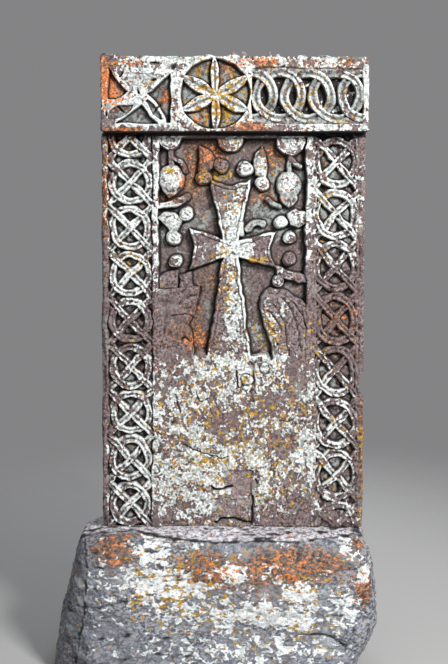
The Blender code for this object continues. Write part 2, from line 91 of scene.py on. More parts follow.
def area_light(name, place, aim, size, power, colour):
    """Square soft light that looks from its place to its aim."""
    data = bpy.data.lights.new(name, "AREA")
    data.size = size
    data.energy = power
    data.color = colour
    light = placed(name, data)
    light.location = place
    light.rotation_euler = (Vector(aim) - Vector(place)).to_track_quat("-Z", "Y").to_euler()


light_aim = (slab_middle, slab_face, 1.1)
area_light("key_light", (2.3, -3.3, 3.5), light_aim, 0.9, 300, (1.0, 0.99, 0.975))
area_light("left_fill", (-3.2, -3.4, 1.9), light_aim, 2.6, 34, (0.93, 0.96, 1.0))
area_light("back_fill", (0.6, 4.2, 2.8), light_aim, 2.6, 110, (0.96, 0.98, 1.0))

floor_reach = 6.0
fade_start, fade_end = 0.8, 3.2
floor_turn, floor_out = np.meshgrid(np.linspace(0, 2 * np.pi, 65)[:-1], np.linspace(1, 0.02, 12))
floor_rim = np.stack(
    [
        floor_reach * floor_out * np.cos(floor_turn),
        floor_reach * floor_out * np.sin(floor_turn),
        np.zeros_like(floor_turn),
    ],
    axis=-1,
)


def shell_mesh(name, rings, cap_first=True):
    """Mesh over rings of points, each closed on itself.

    A fan to the middle of the last ring caps that end, and another can cap the first.
    """
    count, around = rings.shape[:2]
    points = rings.reshape(-1, 3)
    row, column = np.meshgrid(np.arange(count - 1), np.arange(around), indexing="ij")
    here = (row * around + column).ravel()
    beside = (row * around + (column + 1) % around).ravel()
    quads = np.stack([here, beside, beside + around, here + around], axis=1)
    step = np.arange(around)
    ahead = (step + 1) % around
    last = (count - 1) * around
    ends = [(rings[-1], last + step, last + ahead)]
    if cap_first:
        ends.insert(0, (rings[0], ahead, step))
    fans = [
        np.stack([np.full(around, len(points) + index), first, second], axis=1)
        for index, (_, first, second) in enumerate(ends)
    ]
    points = np.concatenate([points, [ring.mean(axis=0) for ring, _, _ in ends]])
    corners = np.concatenate([quads.ravel(), *[fan.ravel() for fan in fans]])
    sizes = np.concatenate([np.full(len(quads), 4), *[np.full(len(fan), 3) for fan in fans]])
    mesh = bpy.data.meshes.new(name)
    mesh.vertices.add(len(points))
    mesh.vertices.foreach_set("co", points.astype(np.float32).ravel())
    mesh.loops.add(len(corners))
    mesh.loops.foreach_set("vertex_index", corners.astype(np.int32))
    mesh.polygons.add(len(sizes))
    mesh.polygons.foreach_set("loop_start", (np.cumsum(sizes) - sizes).astype(np.int32))
    mesh.update(calc_edges=True)
    mesh.validate()
    return mesh


floor_mesh = shell_mesh("floor", floor_rim, cap_first=False)
floor = placed("floor", floor_mesh)


def shader_node(tree, kind, sockets=(), **settings):
    """New node with its settings, and its sockets set to plain values or fed by other nodes."""
    made = tree.nodes.new("ShaderNode" + kind)
    for name, value in settings.items():
        setattr(made, name, value)
    for key, value in dict(sockets).items():
        if isinstance(value, bpy.types.NodeSocket):
            tree.links.new(value, made.inputs[key])
        else:
            made.inputs[key].default_value = value
    return made


floor_finish = bpy.data.materials.new("pale_floor")
floor_finish.use_nodes = True
floor_tree = floor_finish.node_tree
floor_shader = floor_tree.nodes["Principled BSDF"]
floor_shader.inputs["Base Color"].default_value = (0.40, 0.40, 0.40, 1)
floor_shader.inputs["Roughness"].default_value = 0.9
floor_place = shader_node(floor_tree, "TexCoord").outputs["Object"]
floor_distance = shader_node(floor_tree, "VectorMath", {0: floor_place}, operation="LENGTH").outputs["Value"]
fade = {"Value": floor_distance, "From Min": fade_start, "From Max": fade_end, "To Min": 1.0, "To Max": 0.0}
floor_fade = shader_node(floor_tree, "MapRange", fade, interpolation_type="SMOOTHSTEP")
floor_tree.links.new(floor_fade.outputs["Result"], floor_shader.inputs["Alpha"])
floor_mesh.materials.append(floor_finish)


# The slab: one upright block of mauve-brown tuff. Its face is carved in low relief with two
# knotwork borders and a sunk field holding the cross, and is worn flat and cracked below.
slab_width = 0.855
slab_thickness = 0.22
foot_narrowing = 0.013
cornice_bottom = 1.2805
cornice_lap = 0.012
field_depth, field_height = 0.030, 0.708
field_left, field_right = -0.2475, 0.2330
field_top = cornice_bottom - 0.0145
field_width = field_right - field_left
knot_depth = 0.020
slab_left, slab_right = -slab_width / 2, slab_width / 2


def lattice_noise(points, size, seed):
    """Random numbers on a cubic lattice of the given size, blended smoothly between its points."""
    table = np.random.default_rng(seed).uniform(-1, 1, 4096)
    cell = np.floor(points / size).astype(np.int64)
    inner = points / size - cell
    inner = inner * inner * (3 - 2 * inner)
    total = np.zeros(points.shape[:-1])
    for corner in itertools.product((0, 1), repeat=3):
        key = (
            (cell[..., 0] + corner[0]) * 73856093
            ^ (cell[..., 1] + corner[1]) * 19349663
            ^ (cell[..., 2] + corner[2]) * 83492791
        ) & 4095
        weight = np.ones(points.shape[:-1])
        for axis, side in enumerate(corner):
            weight = weight * (inner[..., axis] if side else 1 - inner[..., axis])
        total += table[key] * weight
    return total


def rough_stone(points, sizes, seed):
    """Sum of lattice noises, each as strong as its own size compared with the largest."""
    return sum(
        lattice_noise(points, size, seed + index) * size / sizes[0] for index, size in enumerate(sizes)
    )


def inside(distance, soft=0.0022):
    """One within an outline and nought outside, with a smooth slope as wide as twice soft."""
    share = np.clip(0.5 - distance / (2 * soft), 0, 1)
    return share * share * (3 - 2 * share)


def ridge(distance, width, power=2):
    """One along a line, fading on both sides of it as a bell of the given width."""
    return np.exp(-((distance / width) ** power))


def box_edge(across, up, left, bottom, right, top):
    """Distance from an upright oblong, negative within it."""
    return np.maximum(np.maximum(left - across, across - right), np.maximum(bottom - up, up - top))


def unsteady(spots, coarse, fine, seed):
    """Sum of two noises, each as (amount, size), that leads a line as unsteadily as a hand does."""
    noises = enumerate((coarse, fine))
    return sum(amount * lattice_noise(spots, size, seed + index) for index, (amount, size) in noises)


def raise_form(height, floor_level, distance, top, soft=0.0022):
    """Puts a form with its own top level over the relief, sloping to the floor at its outline."""
    return np.maximum(height, floor_level + (top - floor_level) * inside(distance, soft))


def band_top(distance, half_width, top, groove, crown=0.0025):
    """Level across a strap: rounded towards both edges, with one groove along the middle."""
    share = np.clip(np.abs(distance) / half_width, 0, 1)
    return top - crown * share**4 - groove * ridge(distance, 0.30 * half_width)


def knot_border(across, up, left, right, pitch, first_ring, strap, outer_level):
    """Relief of a column of rings, each crossed by two straps that bounce off the edges.

    The height along a ring goes with the sine of twice the angle, and each strap rises or
    dips at the middle, so that every crossing has one band over the other. The corners
    outside the rings are left at a level of their own.
    """
    band_level, weave, band_groove, gap = -0.003, 0.0028, 0.005, 0.0015
    middle, reach = (left + right) / 2, (right - left) / 2
    x = across - middle
    place = up - (cornice_bottom - first_ring)
    y = place - pitch * np.round(place / pitch)
    floor_level = -knot_depth
    floor_level = floor_level + 0.003 * lattice_noise(np.stack([x, 0 * x, up], axis=-1), 0.020, 15)
    ring_radius = min(pitch / 2, reach) - gap - strap / 2
    squash = ring_radius / (pitch / 2 - gap - strap / 2)
    radius, angle = np.hypot(x, y * squash), np.arctan2(y, x)
    height = floor_level + 0 * across
    ring = radius - ring_radius
    top = band_top(ring, strap / 2, band_level + weave * np.sin(2 * angle), band_groove)
    height = raise_form(height, floor_level, np.abs(ring) - strap / 2, top)
    height = raise_form(height, floor_level, ring_radius - np.abs(x), outer_level, 0.003)
    slope = 2 * reach / pitch
    for turn in (1, -1):
        line = (x - turn * slope * y) / math.hypot(1, slope)
        level = band_level + turn * weave * np.cos(np.pi * np.clip(radius / ring_radius, 0, 1.6))
        top = band_top(line, strap / 2, level, band_groove)
        height = raise_form(height, floor_level, np.abs(line) - strap / 2, top)
    edge = np.maximum(left - across, across - right)
    return np.where(edge > 0.004, 0.0, height * inside(edge, 0.0025))


def field_spot(across, down):
    """Point of the sunk field, as shares of its width and of its height from the top."""
    return field_left + across * field_width, field_top - down * field_height


def disc(across, up, spot, radius):
    """Distance from a disc of the field, whose radius is a share of the field's width."""
    x, y = field_spot(*spot)
    return np.hypot(across - x, up - y) - radius * field_width


def leaf(across, up, base, tip, width, fullness=0.8):
    """Distance from a pointed leaf, and the distance from its middle line.

    Half its width goes with the sine of the way along it, raised to its fullness.
    """
    start, end = np.array(field_spot(*base)), np.array(field_spot(*tip))
    length = np.hypot(*(end - start))
    along = (end - start) / length
    x, y = across - start[0], up - start[1]
    share = np.clip((x * along[0] + y * along[1]) / length, 0, 1)
    side = x * along[1] - y * along[0]
    half = width * field_width / 2 * np.sin(np.pi * share) ** fullness
    beyond = np.hypot(
        x - share * length * along[0] - side * along[1], y - share * length * along[1] + side * along[0]
    )
    return np.hypot(np.maximum(np.abs(side) - half, 0), beyond) - np.maximum(half - np.abs(side), 0), side


def outline_of(across, up, corners):
    """Distance from an outline of straight runs, negative within it."""
    nearest, side = np.full_like(across, 9.0), np.ones_like(across)
    for first, last in zip(corners, corners[1:] + corners[:1]):
        run_x, run_y = last[0] - first[0], last[1] - first[1]
        x, y = across - first[0], up - first[1]
        reach = np.clip((x * run_x + y * run_y) / (run_x**2 + run_y**2), 0, 1)
        nearest = np.minimum(nearest, np.hypot(x - reach * run_x, y - reach * run_y))
        crossed = ((up >= first[1]) != (up >= last[1])) & ((x * run_y - y * run_x < 0) == (run_y > 0))
        side = np.where(crossed, -side, side)
    return nearest * side


def field_outline(across, up, corners):
    """Distance from an outline whose corners are places of the field."""
    return outline_of(across, up, [field_spot(*corner) for corner in corners])


def ribbon_between(across, up, start, bend, end, steps=14):
    """Distance from a curve pulled towards its middle point, as the nearest of its short runs."""
    start, bend, end = (np.array(spot) for spot in (start, bend, end))
    share = np.linspace(0, 1, steps + 1)[:, None]
    line = start * (1 - share) ** 2 + bend * 2 * share * (1 - share) + end * share**2
    nearest = np.full_like(across, 9.0)
    for first, last in zip(line[:-1], line[1:]):
        run = last - first
        reach = np.clip(((across - first[0]) * run[0] + (up - first[1]) * run[1]) / (run @ run), 0, 1)
        gap = np.hypot(across - first[0] - reach * run[0], up - first[1] - reach * run[1])
        nearest = np.minimum(nearest, gap)
    return nearest


def ribbon(across, up, *spots):
    """Distance from a curve through three places of the field."""
    return ribbon_between(across, up, *(field_spot(*spot) for spot in spots))


def flared_arm(across, up, root, tip, root_half, tip_half, hollow):
    """Distance from a cross arm that widens from its root to a hollow end.

    Half its width grows with the share of its length to the power 0.8, and a cosine across
    the arm dishes its end.
    """
    start, end = np.array(field_spot(*root)), np.array(field_spot(*tip))
    length = np.hypot(*(end - start))
    along = (end - start) / length
    x, y = across - start[0], up - start[1]
    share = (x * along[0] + y * along[1]) / length
    side = np.abs(x * along[1] - y * along[0])
    spread = (tip_half - root_half) * field_width
    half = root_half * field_width + spread * np.clip(share, 0, 1.05) ** 0.8
    lean = math.cos(math.atan2(spread, length))
    dish = hollow * field_width * np.cos(np.pi / 2 * np.clip(side / (tip_half * field_width), 0, 1))
    return np.maximum(np.maximum((side - half) * lean, share * length - (length - dish)), -share * length)


def spiral_knob(height, across, up, spot, radius, turn, floor_level):
    """Domed disc, falling with the cube of the radius, with a groove that winds inwards.

    The groove is deepest where the radius in turns of the spiral matches the angle in turns.
    """
    x, y = field_spot(*spot)
    dx, dy = across - x, up - y
    size = radius * field_width
    far = np.hypot(dx, dy)
    wind = far / (0.52 * size) - turn * np.arctan2(dy, dx) / (2 * np.pi)
    groove = 0.0040 * np.clip(np.cos(2 * np.pi * wind) - 0.1, 0, 1)
    top = -0.003 - 0.007 * np.clip(far / size, 0, 1.2) ** 3 - groove
    return raise_form(height, floor_level, far - size, top)


def field_relief(across, up):
    """Relief of the sunk field: the cross, its knobs and leaves, bunches, scallops, palmettes.

    Each form is a distance from its outline and a top of its own, and the highest one shows.
    """
    floor_level = -field_depth
    height = np.full_like(across, floor_level)
    # Three scallops along the top, each with a groove inside its edge.
    scallops = (((0.074, 0.0), 0.083), ((0.490, 0.008), 0.088), ((0.899, 0.018), 0.097))
    for spot, radius in scallops:
        rim = disc(across, up, spot, radius)
        top = -0.004 - 0.003 * ridge(rim + 0.009, 0.002)
        height = raise_form(height, floor_level, rim, top)
    # Two hanging bunches, each as (middle, top of its stalk, tip, radius).
    bunches = (
        ((0.087, 0.188), (0.081, 0.030), (0.074, 0.275), 0.092),
        ((0.879, 0.216), (0.893, 0.060), (0.879, 0.325), 0.088),
    )
    for middle, stem, foot, radius in bunches:
        far = disc(across, up, middle, 0)
        size = radius * field_width
        top = -0.002 - 0.011 * np.clip(far / size, 0, 1.3) ** 2.5
        height = raise_form(height, floor_level, far - size, top, 0.003)
        tail, _ = leaf(across, up, middle, foot, 0.12, 0.9)
        height = raise_form(height, floor_level, tail, -0.010)
        stalk = ribbon(across, up, stem, ((stem[0] + middle[0]) / 2, (stem[1] + middle[1]) / 2), middle)
        height = raise_form(height, floor_level, stalk - 0.008, -0.012)
    # Bands and stems, each as (start, bend, end, width, level).
    bands = (
        ((0.095, 0.095), (0.150, 0.100), (0.180, 0.155), 0.030, -0.010),
        ((0.960, 0.130), (0.930, 0.130), (0.905, 0.100), 0.030, -0.010),
        ((-0.010, 0.318), (0.100, 0.310), (0.185, 0.272), 0.050, -0.006),
        ((0.735, 0.280), (0.765, 0.315), (0.815, 0.318), 0.040, -0.012),
        ((0.556, 0.380), (0.560, 0.410), (0.562, 0.450), 0.035, -0.008),
        ((0.604, 0.425), (0.640, 0.375), (0.705, 0.400), 0.050, -0.010),
    )
    for start, bend, end, width, level in bands:
        line = ribbon(across, up, start, bend, end)
        half = width * field_width / 2
        top = band_top(line, half, level, 0.002 if width > 0.045 else 0.0, 0.004)
        height = raise_form(height, floor_level, line - half, top)
    # Leaves and small worn forms, each as the corners of its outline.
    leaves = (
        ((0.279, 0.036), (0.322, 0.050), (0.356, 0.072), (0.380, 0.100), (0.362, 0.140), (0.315, 0.160),
         (0.272, 0.150)),
        ((0.700, 0.040), (0.722, 0.072), (0.732, 0.130), (0.715, 0.185), (0.652, 0.175), (0.640, 0.128),
         (0.664, 0.080)),
        ((0.004, 0.372), (0.040, 0.352), (0.100, 0.345), (0.150, 0.380), (0.130, 0.430), (0.085, 0.430),
         (0.050, 0.400)),
        ((0.013, 0.640), (0.050, 0.619), (0.121, 0.620), (0.130, 0.690), (0.010, 0.692)),
        ((0.146, 0.640), (0.215, 0.626), (0.223, 0.690), (0.152, 0.692)),
        ((0.870, 0.350), (0.930, 0.330), (0.996, 0.345), (0.996, 0.400), (0.950, 0.415), (0.890, 0.400)),
        ((0.800, 0.590), (0.880, 0.620), (0.996, 0.632), (0.996, 0.662), (0.880, 0.660), (0.810, 0.640)),
    )
    for corners in leaves:
        outline = field_outline(across, up, corners)
        rim = 0.003 * inside(-outline - 0.008, 0.003)
        height = raise_form(height, floor_level, outline - 0.003, -0.005 - rim, 0.003)
    # Knobs at the ends of the arms and leaves, each as (middle, radius, way it winds).
    knobs = (
        ((0.299, 0.185), 0.050, 1), ((0.426, 0.132), 0.050, -1),
        ((0.584, 0.147), 0.053, 1), ((0.698, 0.211), 0.050, -1),
        ((0.181, 0.350), 0.050, -1), ((0.107, 0.461), 0.053, 1),
        ((0.114, 0.571), 0.043, -1),
        ((0.826, 0.394), 0.046, 1), ((0.893, 0.463), 0.045, -1),
        ((0.893, 0.564), 0.047, 1), ((0.805, 0.661), 0.040, -1),
    )
    for spot, radius, turn in knobs:
        height = spiral_knob(height, across, up, spot, radius, turn, floor_level)
    # The right half palmette, with four grooves along it and two ringed eyes at its foot.
    right_palmette = (
        (0.693, 0.731), (0.720, 0.700), (0.758, 0.691), (0.840, 0.705), (0.920, 0.735), (1.020, 0.775),
        (1.020, 1.050), (0.785, 1.050), (0.758, 0.940), (0.736, 0.880), (0.715, 0.830), (0.685, 0.780),
    )
    outline = field_outline(across, up, right_palmette) - 0.001
    top = -0.003 - 0.004 * inside(-outline - 0.012, 0.004)
    grooves = (
        ((0.735, 0.715), (0.930, 0.725), (0.975, 1.000), 0.0040),
        ((0.735, 0.760), (0.860, 0.765), (0.885, 1.000), 0.0036),
        ((0.735, 0.800), (0.800, 0.810), (0.835, 0.880), 0.0030),
        ((0.800, 0.720), (0.960, 0.745), (1.010, 0.900), 0.0030),
    )
    for start, bend, end, width in grooves:
        top = top - 0.0060 * ridge(ribbon(across, up, start, bend, end), width)
    for spot, radius in (((0.780, 0.889), 0.0125), ((0.803, 0.944), 0.0090)):
        eye = disc(across, up, spot, 0)
        top = top + 0.004 * ridge(eye - radius, 0.004) - 0.006 * ridge(eye, 0.006)
    height = raise_form(height, floor_level, outline, top, 0.004)
    # The left half palmette, ribbed across.
    left_palmette = (
        (-0.030, 0.695), (0.275, 0.690), (0.272, 0.740), (0.250, 0.800), (0.205, 0.866), (0.228, 0.905),
        (0.240, 0.980), (0.225, 1.050), (-0.030, 1.050),
    )
    swell = 0.5 + 0.5 * np.cos(2 * np.pi * (up + 0.35 * across) / 0.050)
    outline = field_outline(across, up, left_palmette)
    height = raise_form(height, floor_level, outline, -0.0045 - 0.0040 * swell**2, 0.005)
    # The cross, each arm as (tip, half width, hollow), with a raised rim and a boss at the crossing.
    crossing, root_half = (0.487, 0.514), 0.036
    arms = (
        ((0.481, 0.197), 0.137, 0.035), ((0.205, 0.514), 0.143, 0.035), ((0.799, 0.516), 0.117, 0.035),
        ((0.476, 1.060), 0.155, 0.0),
    )
    outline = np.full_like(across, 9.0)
    for tip, half, dish in arms:
        outline = np.minimum(outline, flared_arm(across, up, crossing, tip, root_half, half, dish))
    depth = -outline
    beyond_boss = inside(0.030 - disc(across, up, crossing, 0), 0.008)
    rim_step = inside(0.0095 - depth, 0.0015) + ridge(depth - 0.0105, 0.0018)
    top = -0.001 - 0.0035 * rim_step * beyond_boss
    return raise_form(height, floor_level, outline, top, 0.0018)


left_border = (slab_left + 0.016, slab_left + 0.161)
right_border = (slab_right - foot_narrowing - 0.160, slab_right - foot_narrowing - 0.008)
left_knots = {"pitch": 0.1497, "first_ring": 0.0105, "strap": 0.0230, "outer_level": -0.012}
right_knots = {"pitch": 0.1697, "first_ring": 0.0965, "strap": 0.0220, "outer_level": -0.004}

# Each broken patch is (left, bottom, right, top, depth), each crack (start, bend, end, width,
# depth), and each worn ring (middle, radius, depth).
broken_patches = (
    (-0.034, 0.092, 0.056, 0.186, 0.006), (-0.080, 0.022, 0.062, 0.092, 0.005),
    (0.052, 0.40, 0.066, 0.54, 0.007), (-0.215, 0.035, -0.188, 0.068, 0.004),
    (0.114, 0.278, 0.185, 0.300, 0.003),
)
cracks = (
    ((-0.073, 0.127), (-0.045, 0.121), (-0.013, 0.127), 0.0050, 0.016),
    ((-0.064, 0.012), (-0.030, 0.034), (0.052, 0.014), 0.0050, 0.016),
    ((0.058, 0.010), (0.064, 0.050), (0.060, 0.095), 0.0045, 0.012),
    ((-0.197, 0.432), (-0.188, 0.400), (-0.174, 0.372), 0.0022, 0.006),
    ((-0.122, 0.442), (-0.122, 0.390), (-0.085, 0.412), 0.0024, 0.006),
    ((-0.164, 0.268), (-0.100, 0.222), (-0.019, 0.226), 0.0024, 0.007),
    ((0.008, 0.500), (0.002, 0.470), (0.012, 0.452), 0.0026, 0.008),
    ((0.146, 0.343), (0.165, 0.340), (0.190, 0.343), 0.0024, 0.005),
    ((-0.205, 0.345), (-0.200, 0.340), (-0.194, 0.345), 0.0050, 0.006),
    ((-0.112, 0.780), (-0.120, 0.715), (-0.154, 0.653), 0.0034, 0.010),
    ((-0.184, 0.725), (-0.165, 0.752), (-0.125, 0.748), 0.0030, 0.006),
    ((-0.206, 0.680), (-0.180, 0.696), (-0.135, 0.682), 0.0030, 0.007),
    ((-0.167, 0.608), (-0.152, 0.622), (-0.138, 0.592), 0.0040, 0.009),
    ((-0.220, 0.735), (-0.228, 0.690), (-0.232, 0.620), 0.0040, 0.004),
    ((0.066, 0.157), (0.070, 0.150), (0.072, 0.143), 0.0045, 0.008),
)
worn_rings = (((0.037, 0.474), 0.021, 0.006), ((0.096, 0.516), 0.018, 0.005))


def slab_relief(across, up):
    """Height of the carved face above its own plane, at every point of the face.

    The borders and the sunk field are cut first. Wear, broken patches, cracks, faint rings
    and spalls are then taken off the height in turn, each strongest at its own middle.
    """
    spots = np.stack([across, np.zeros_like(across), up], axis=-1)
    coarse, fine = (0.0046, 0.060), (0.0030, 0.019)
    x = across + unsteady(spots, coarse, fine, 11)
    y = up + unsteady(spots, coarse, fine, 13)
    height = knot_border(x, y, *left_border, **left_knots)
    worn_foot = 1 - 0.55 * inside(up - 0.10, 0.08)
    height = np.minimum(height, knot_border(x, y, *right_border, **right_knots) * worn_foot)
    frame_edge = np.maximum(np.maximum(field_left - x, x - field_right), up - field_top)
    field_foot = field_top - field_height - y + 0.016 * lattice_noise(spots, 0.030, 17)
    field_share = inside(frame_edge, 0.0022) * inside(field_foot, 0.014)
    field = field_relief(x, y)
    height = np.where((frame_edge < 0.006) & (field_foot < 0.02), field * field_share, height)

    worn = inside(up - (field_top - field_height), 0.03) * inside(np.abs(across) - 0.24, 0.02)
    height -= worn * (0.0026 + 0.0034 * rough_stone(spots, (0.026, 0.010), 21))
    ragged = 0.005 * lattice_noise(spots, 0.022, 31) + 0.002 * lattice_noise(spots, 0.008, 32)
    for *corners, depth in broken_patches:
        height -= depth * inside(box_edge(x, y, *corners) + ragged, 0.0035)
    for start, bend, end, width, depth in cracks:
        height -= depth * ridge(ribbon_between(x, y + ragged, start, bend, end), width)
    for spot, radius, depth in worn_rings:
        ring = np.hypot(x - spot[0], y - spot[1]) - radius
        height -= depth * ridge(ring, 0.0030) + 0.6 * depth * ridge(ring + radius, 0.005)
    spalled = np.clip(rough_stone(spots, (0.028, 0.012), 33) - 0.55, 0, 1)
    beside_field = inside(0.25 - np.abs(across), 0.004)
    rubbed = np.clip(rough_stone(spots, (0.024, 0.010), 35) - 0.15, 0, 1)
    lumps = rough_stone(spots, (0.014, 0.007), 37)
    return height - 0.006 * spalled * (0.4 + 0.6 * worn) - beside_field * (0.007 * rubbed + 0.0030 * lumps)


face_steps, side_steps, back_steps, slab_rows = 420, 26, 90, 640
slab_head = cornice_bottom + cornice_lap
end_tooling, back_tooling, tuck_depth, left_bulge = 0.0035, 0.004, 0.008, 0.0045
face_grain = ((0.008, 0.004), 61)


def tooling(points):
    """Unevenness of the dressed sides, from minus to plus one and a little over."""
    return rough_stone(points + (0, 0.5, 0), (0.050, 0.020, 0.009), 51)


def slab_shell(relief):
    """Rings round the slab, foot to head: carved face, right side, back and left side.

    The face takes the relief, and the other sides are dressed flat with uneven, pitted tooling.
    The upright corners are worn off by an amount that changes along the height.
    """
    up = np.linspace(0, slab_head, slab_rows)
    share = np.concatenate([
        np.linspace(0, 1, face_steps, endpoint=False),
        np.ones(side_steps),
        np.linspace(1, 0, back_steps, endpoint=False),
        np.zeros(side_steps),
    ])
    deep = np.concatenate([
        np.zeros(face_steps),
        np.linspace(0, 1, side_steps, endpoint=False),
        np.ones(back_steps),
        np.linspace(1, 0, side_steps, endpoint=False),
    ])
    share, height = np.meshgrid(share, up)
    deep, _ = np.meshgrid(deep, up)
    right_edge = slab_right - foot_narrowing * (1 - height / slab_head)
    across = slab_left + share * (right_edge - slab_left)
    back = deep * slab_thickness
    points = np.stack([across, back, height], axis=-1)
    on_face, on_back = deep < 1e-6, deep >= 1
    outward = np.where(on_back | on_face, 0, np.where(share > 0.5, 1.0, -1.0))

    # Both front edges are worn, and the left one is chipped off below the middle and at the foot.
    wear, unevenness, chip_height, chip_half, foot_chip = 0.004, 0.0025, 0.515, 0.085, 0.045
    edge_noise = rough_stone(points * (0, 0, 1), (0.060, 0.018), 41)
    right_wear = wear + unevenness * edge_noise
    chips = 0.010 * ridge(height - chip_height, chip_half, 4) + 0.016 * ridge(height, foot_chip)
    left_wear = right_wear + chips
    left_cut = np.maximum(left_wear - (across - slab_left) - back, 0)
    right_cut = np.maximum(right_wear - (right_edge - across) - back, 0)
    # The plain sides are tooled, and the head is tucked in where it runs up into the cornice.
    tooled = tooling(points)
    tuck = tuck_depth * np.clip((height - cornice_bottom) / 0.004, 0, 1)
    points[..., 0] += outward * (end_tooling * tooled - tuck)
    points[..., 0] += (left_cut - right_cut) * np.where(on_face, 0.3, 0.8)
    fine = rough_stone(points * (1, 0, 1), *face_grain)
    cut = left_cut + right_cut
    points[..., 1] += np.where(on_face, 0.0011 * fine + 0.8 * cut, 0.3 * cut)
    points[..., 1] += np.where(on_back, back_tooling * tooled - tuck, 0)
    points[..., 0] -= left_bulge * (outward < 0) * inside(0.30 - height, 0.2)

    # A wide notch is broken out of the right edge.
    notch_height, notch_half, notch_depth = 0.464, 0.026, 0.0135
    notch = inside(np.abs(height - notch_height + 0.006 * edge_noise) - notch_half, 0.014)
    notch *= inside(back - 0.12, 0.02)
    points[..., 0] -= notch_depth * notch * np.clip((across - right_edge) / 0.030 + 1, 0, 1)
    points[:, : relief.shape[1], 1] -= relief
    return points + (slab_middle, slab_face, slab_foot)


def softened(relief, reach):
    """Relief averaged three times over a square of its neighbours, which is nearly a bell."""
    for axis in (0, 1) * 3:
        ends = [(reach + 1, reach) if each == axis else (0, 0) for each in (0, 1)]
        total = np.cumsum(np.pad(relief, ends, mode="edge"), axis=axis)
        size = relief.shape[axis]
        upper = np.take(total, np.arange(size) + 2 * reach + 1, axis=axis)
        relief = (upper - np.take(total, np.arange(size), axis=axis)) / (2 * reach + 1)
    return relief


def crevice(relief):
    """How far a point lies below its surroundings, near and wider, in metres."""
    return 0.8 * (softened(relief, 1) - relief) + 0.45 * (softened(relief, 3) - relief)


def looked_up(grid, row, column):
    """Values of a grid at fractional rows and columns, blended from the four around."""
    row = np.clip(row, 0, grid.shape[0] - 1.001)
    column = np.clip(column, 0, grid.shape[1] - 1.001)
    r, c = row.astype(int), column.astype(int)
    y, x = row - r, column - c
    return (
        grid[r, c] * (1 - y) * (1 - x)
        + grid[r, c + 1] * (1 - y) * x
        + grid[r + 1, c] * y * (1 - x)
        + grid[r + 1, c + 1] * y * x
    )


def oval_patches(across, up, patches):
    """Sum of soft ovals, each as (across, up, half width, half height, strength).

    An oval's strength fades as a bell of the cube of the distance from its middle.
    """
    total = np.zeros_like(across)
    for middle, level, wide, tall, strength in patches:
        total += strength * np.exp(-((((across - middle) / wide) ** 2 + ((up - level) / tall) ** 2) ** 1.5))
    return total


def mesh_points(mesh):
    """Places of a mesh's points, one row of three numbers each."""
    points = np.empty(len(mesh.vertices) * 3, np.float32)
    mesh.vertices.foreach_get("co", points)
    return points.reshape(-1, 3).astype(float)


def paint(mesh, name, values):
    """Stores three values for each point of the mesh under one name."""
    layer = mesh.attributes.new(name, "FLOAT_COLOR", "POINT")
    colours = np.ones((len(mesh.vertices), 4), np.float32)
    for channel, value in enumerate(values):
        colours[:, channel] = value
    layer.data.foreach_set("color", colours.ravel())


def finished_mesh(name, holder):
    """Mesh of an object with its modifiers worked out; the object itself is removed."""
    bpy.context.view_layer.update()
    finished = holder.evaluated_get(bpy.context.evaluated_depsgraph_get())
    mesh = bpy.data.meshes.new_from_object(finished)
    mesh.name = name
    bpy.data.objects.remove(holder)
    return mesh


def thinned(name, mesh, ratio):
    """Copy of a mesh with fewer triangles where it is plain, keeping its forms."""
    holder = placed(name, mesh)
    modifier = holder.modifiers.new("thin", "DECIMATE")
    modifier.ratio = ratio
    modifier.use_collapse_triangulate = True
    thin = finished_mesh(name, holder)
    thin.shade_smooth()
    return thin


def add_piece(name, mesh, node, material):
    """Finished piece: stands for its node and moves with the one body."""
    piece = placed(name, mesh)
    mesh.materials.clear()
    mesh.materials.append(material)
    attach(piece, "root")
    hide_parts(node)


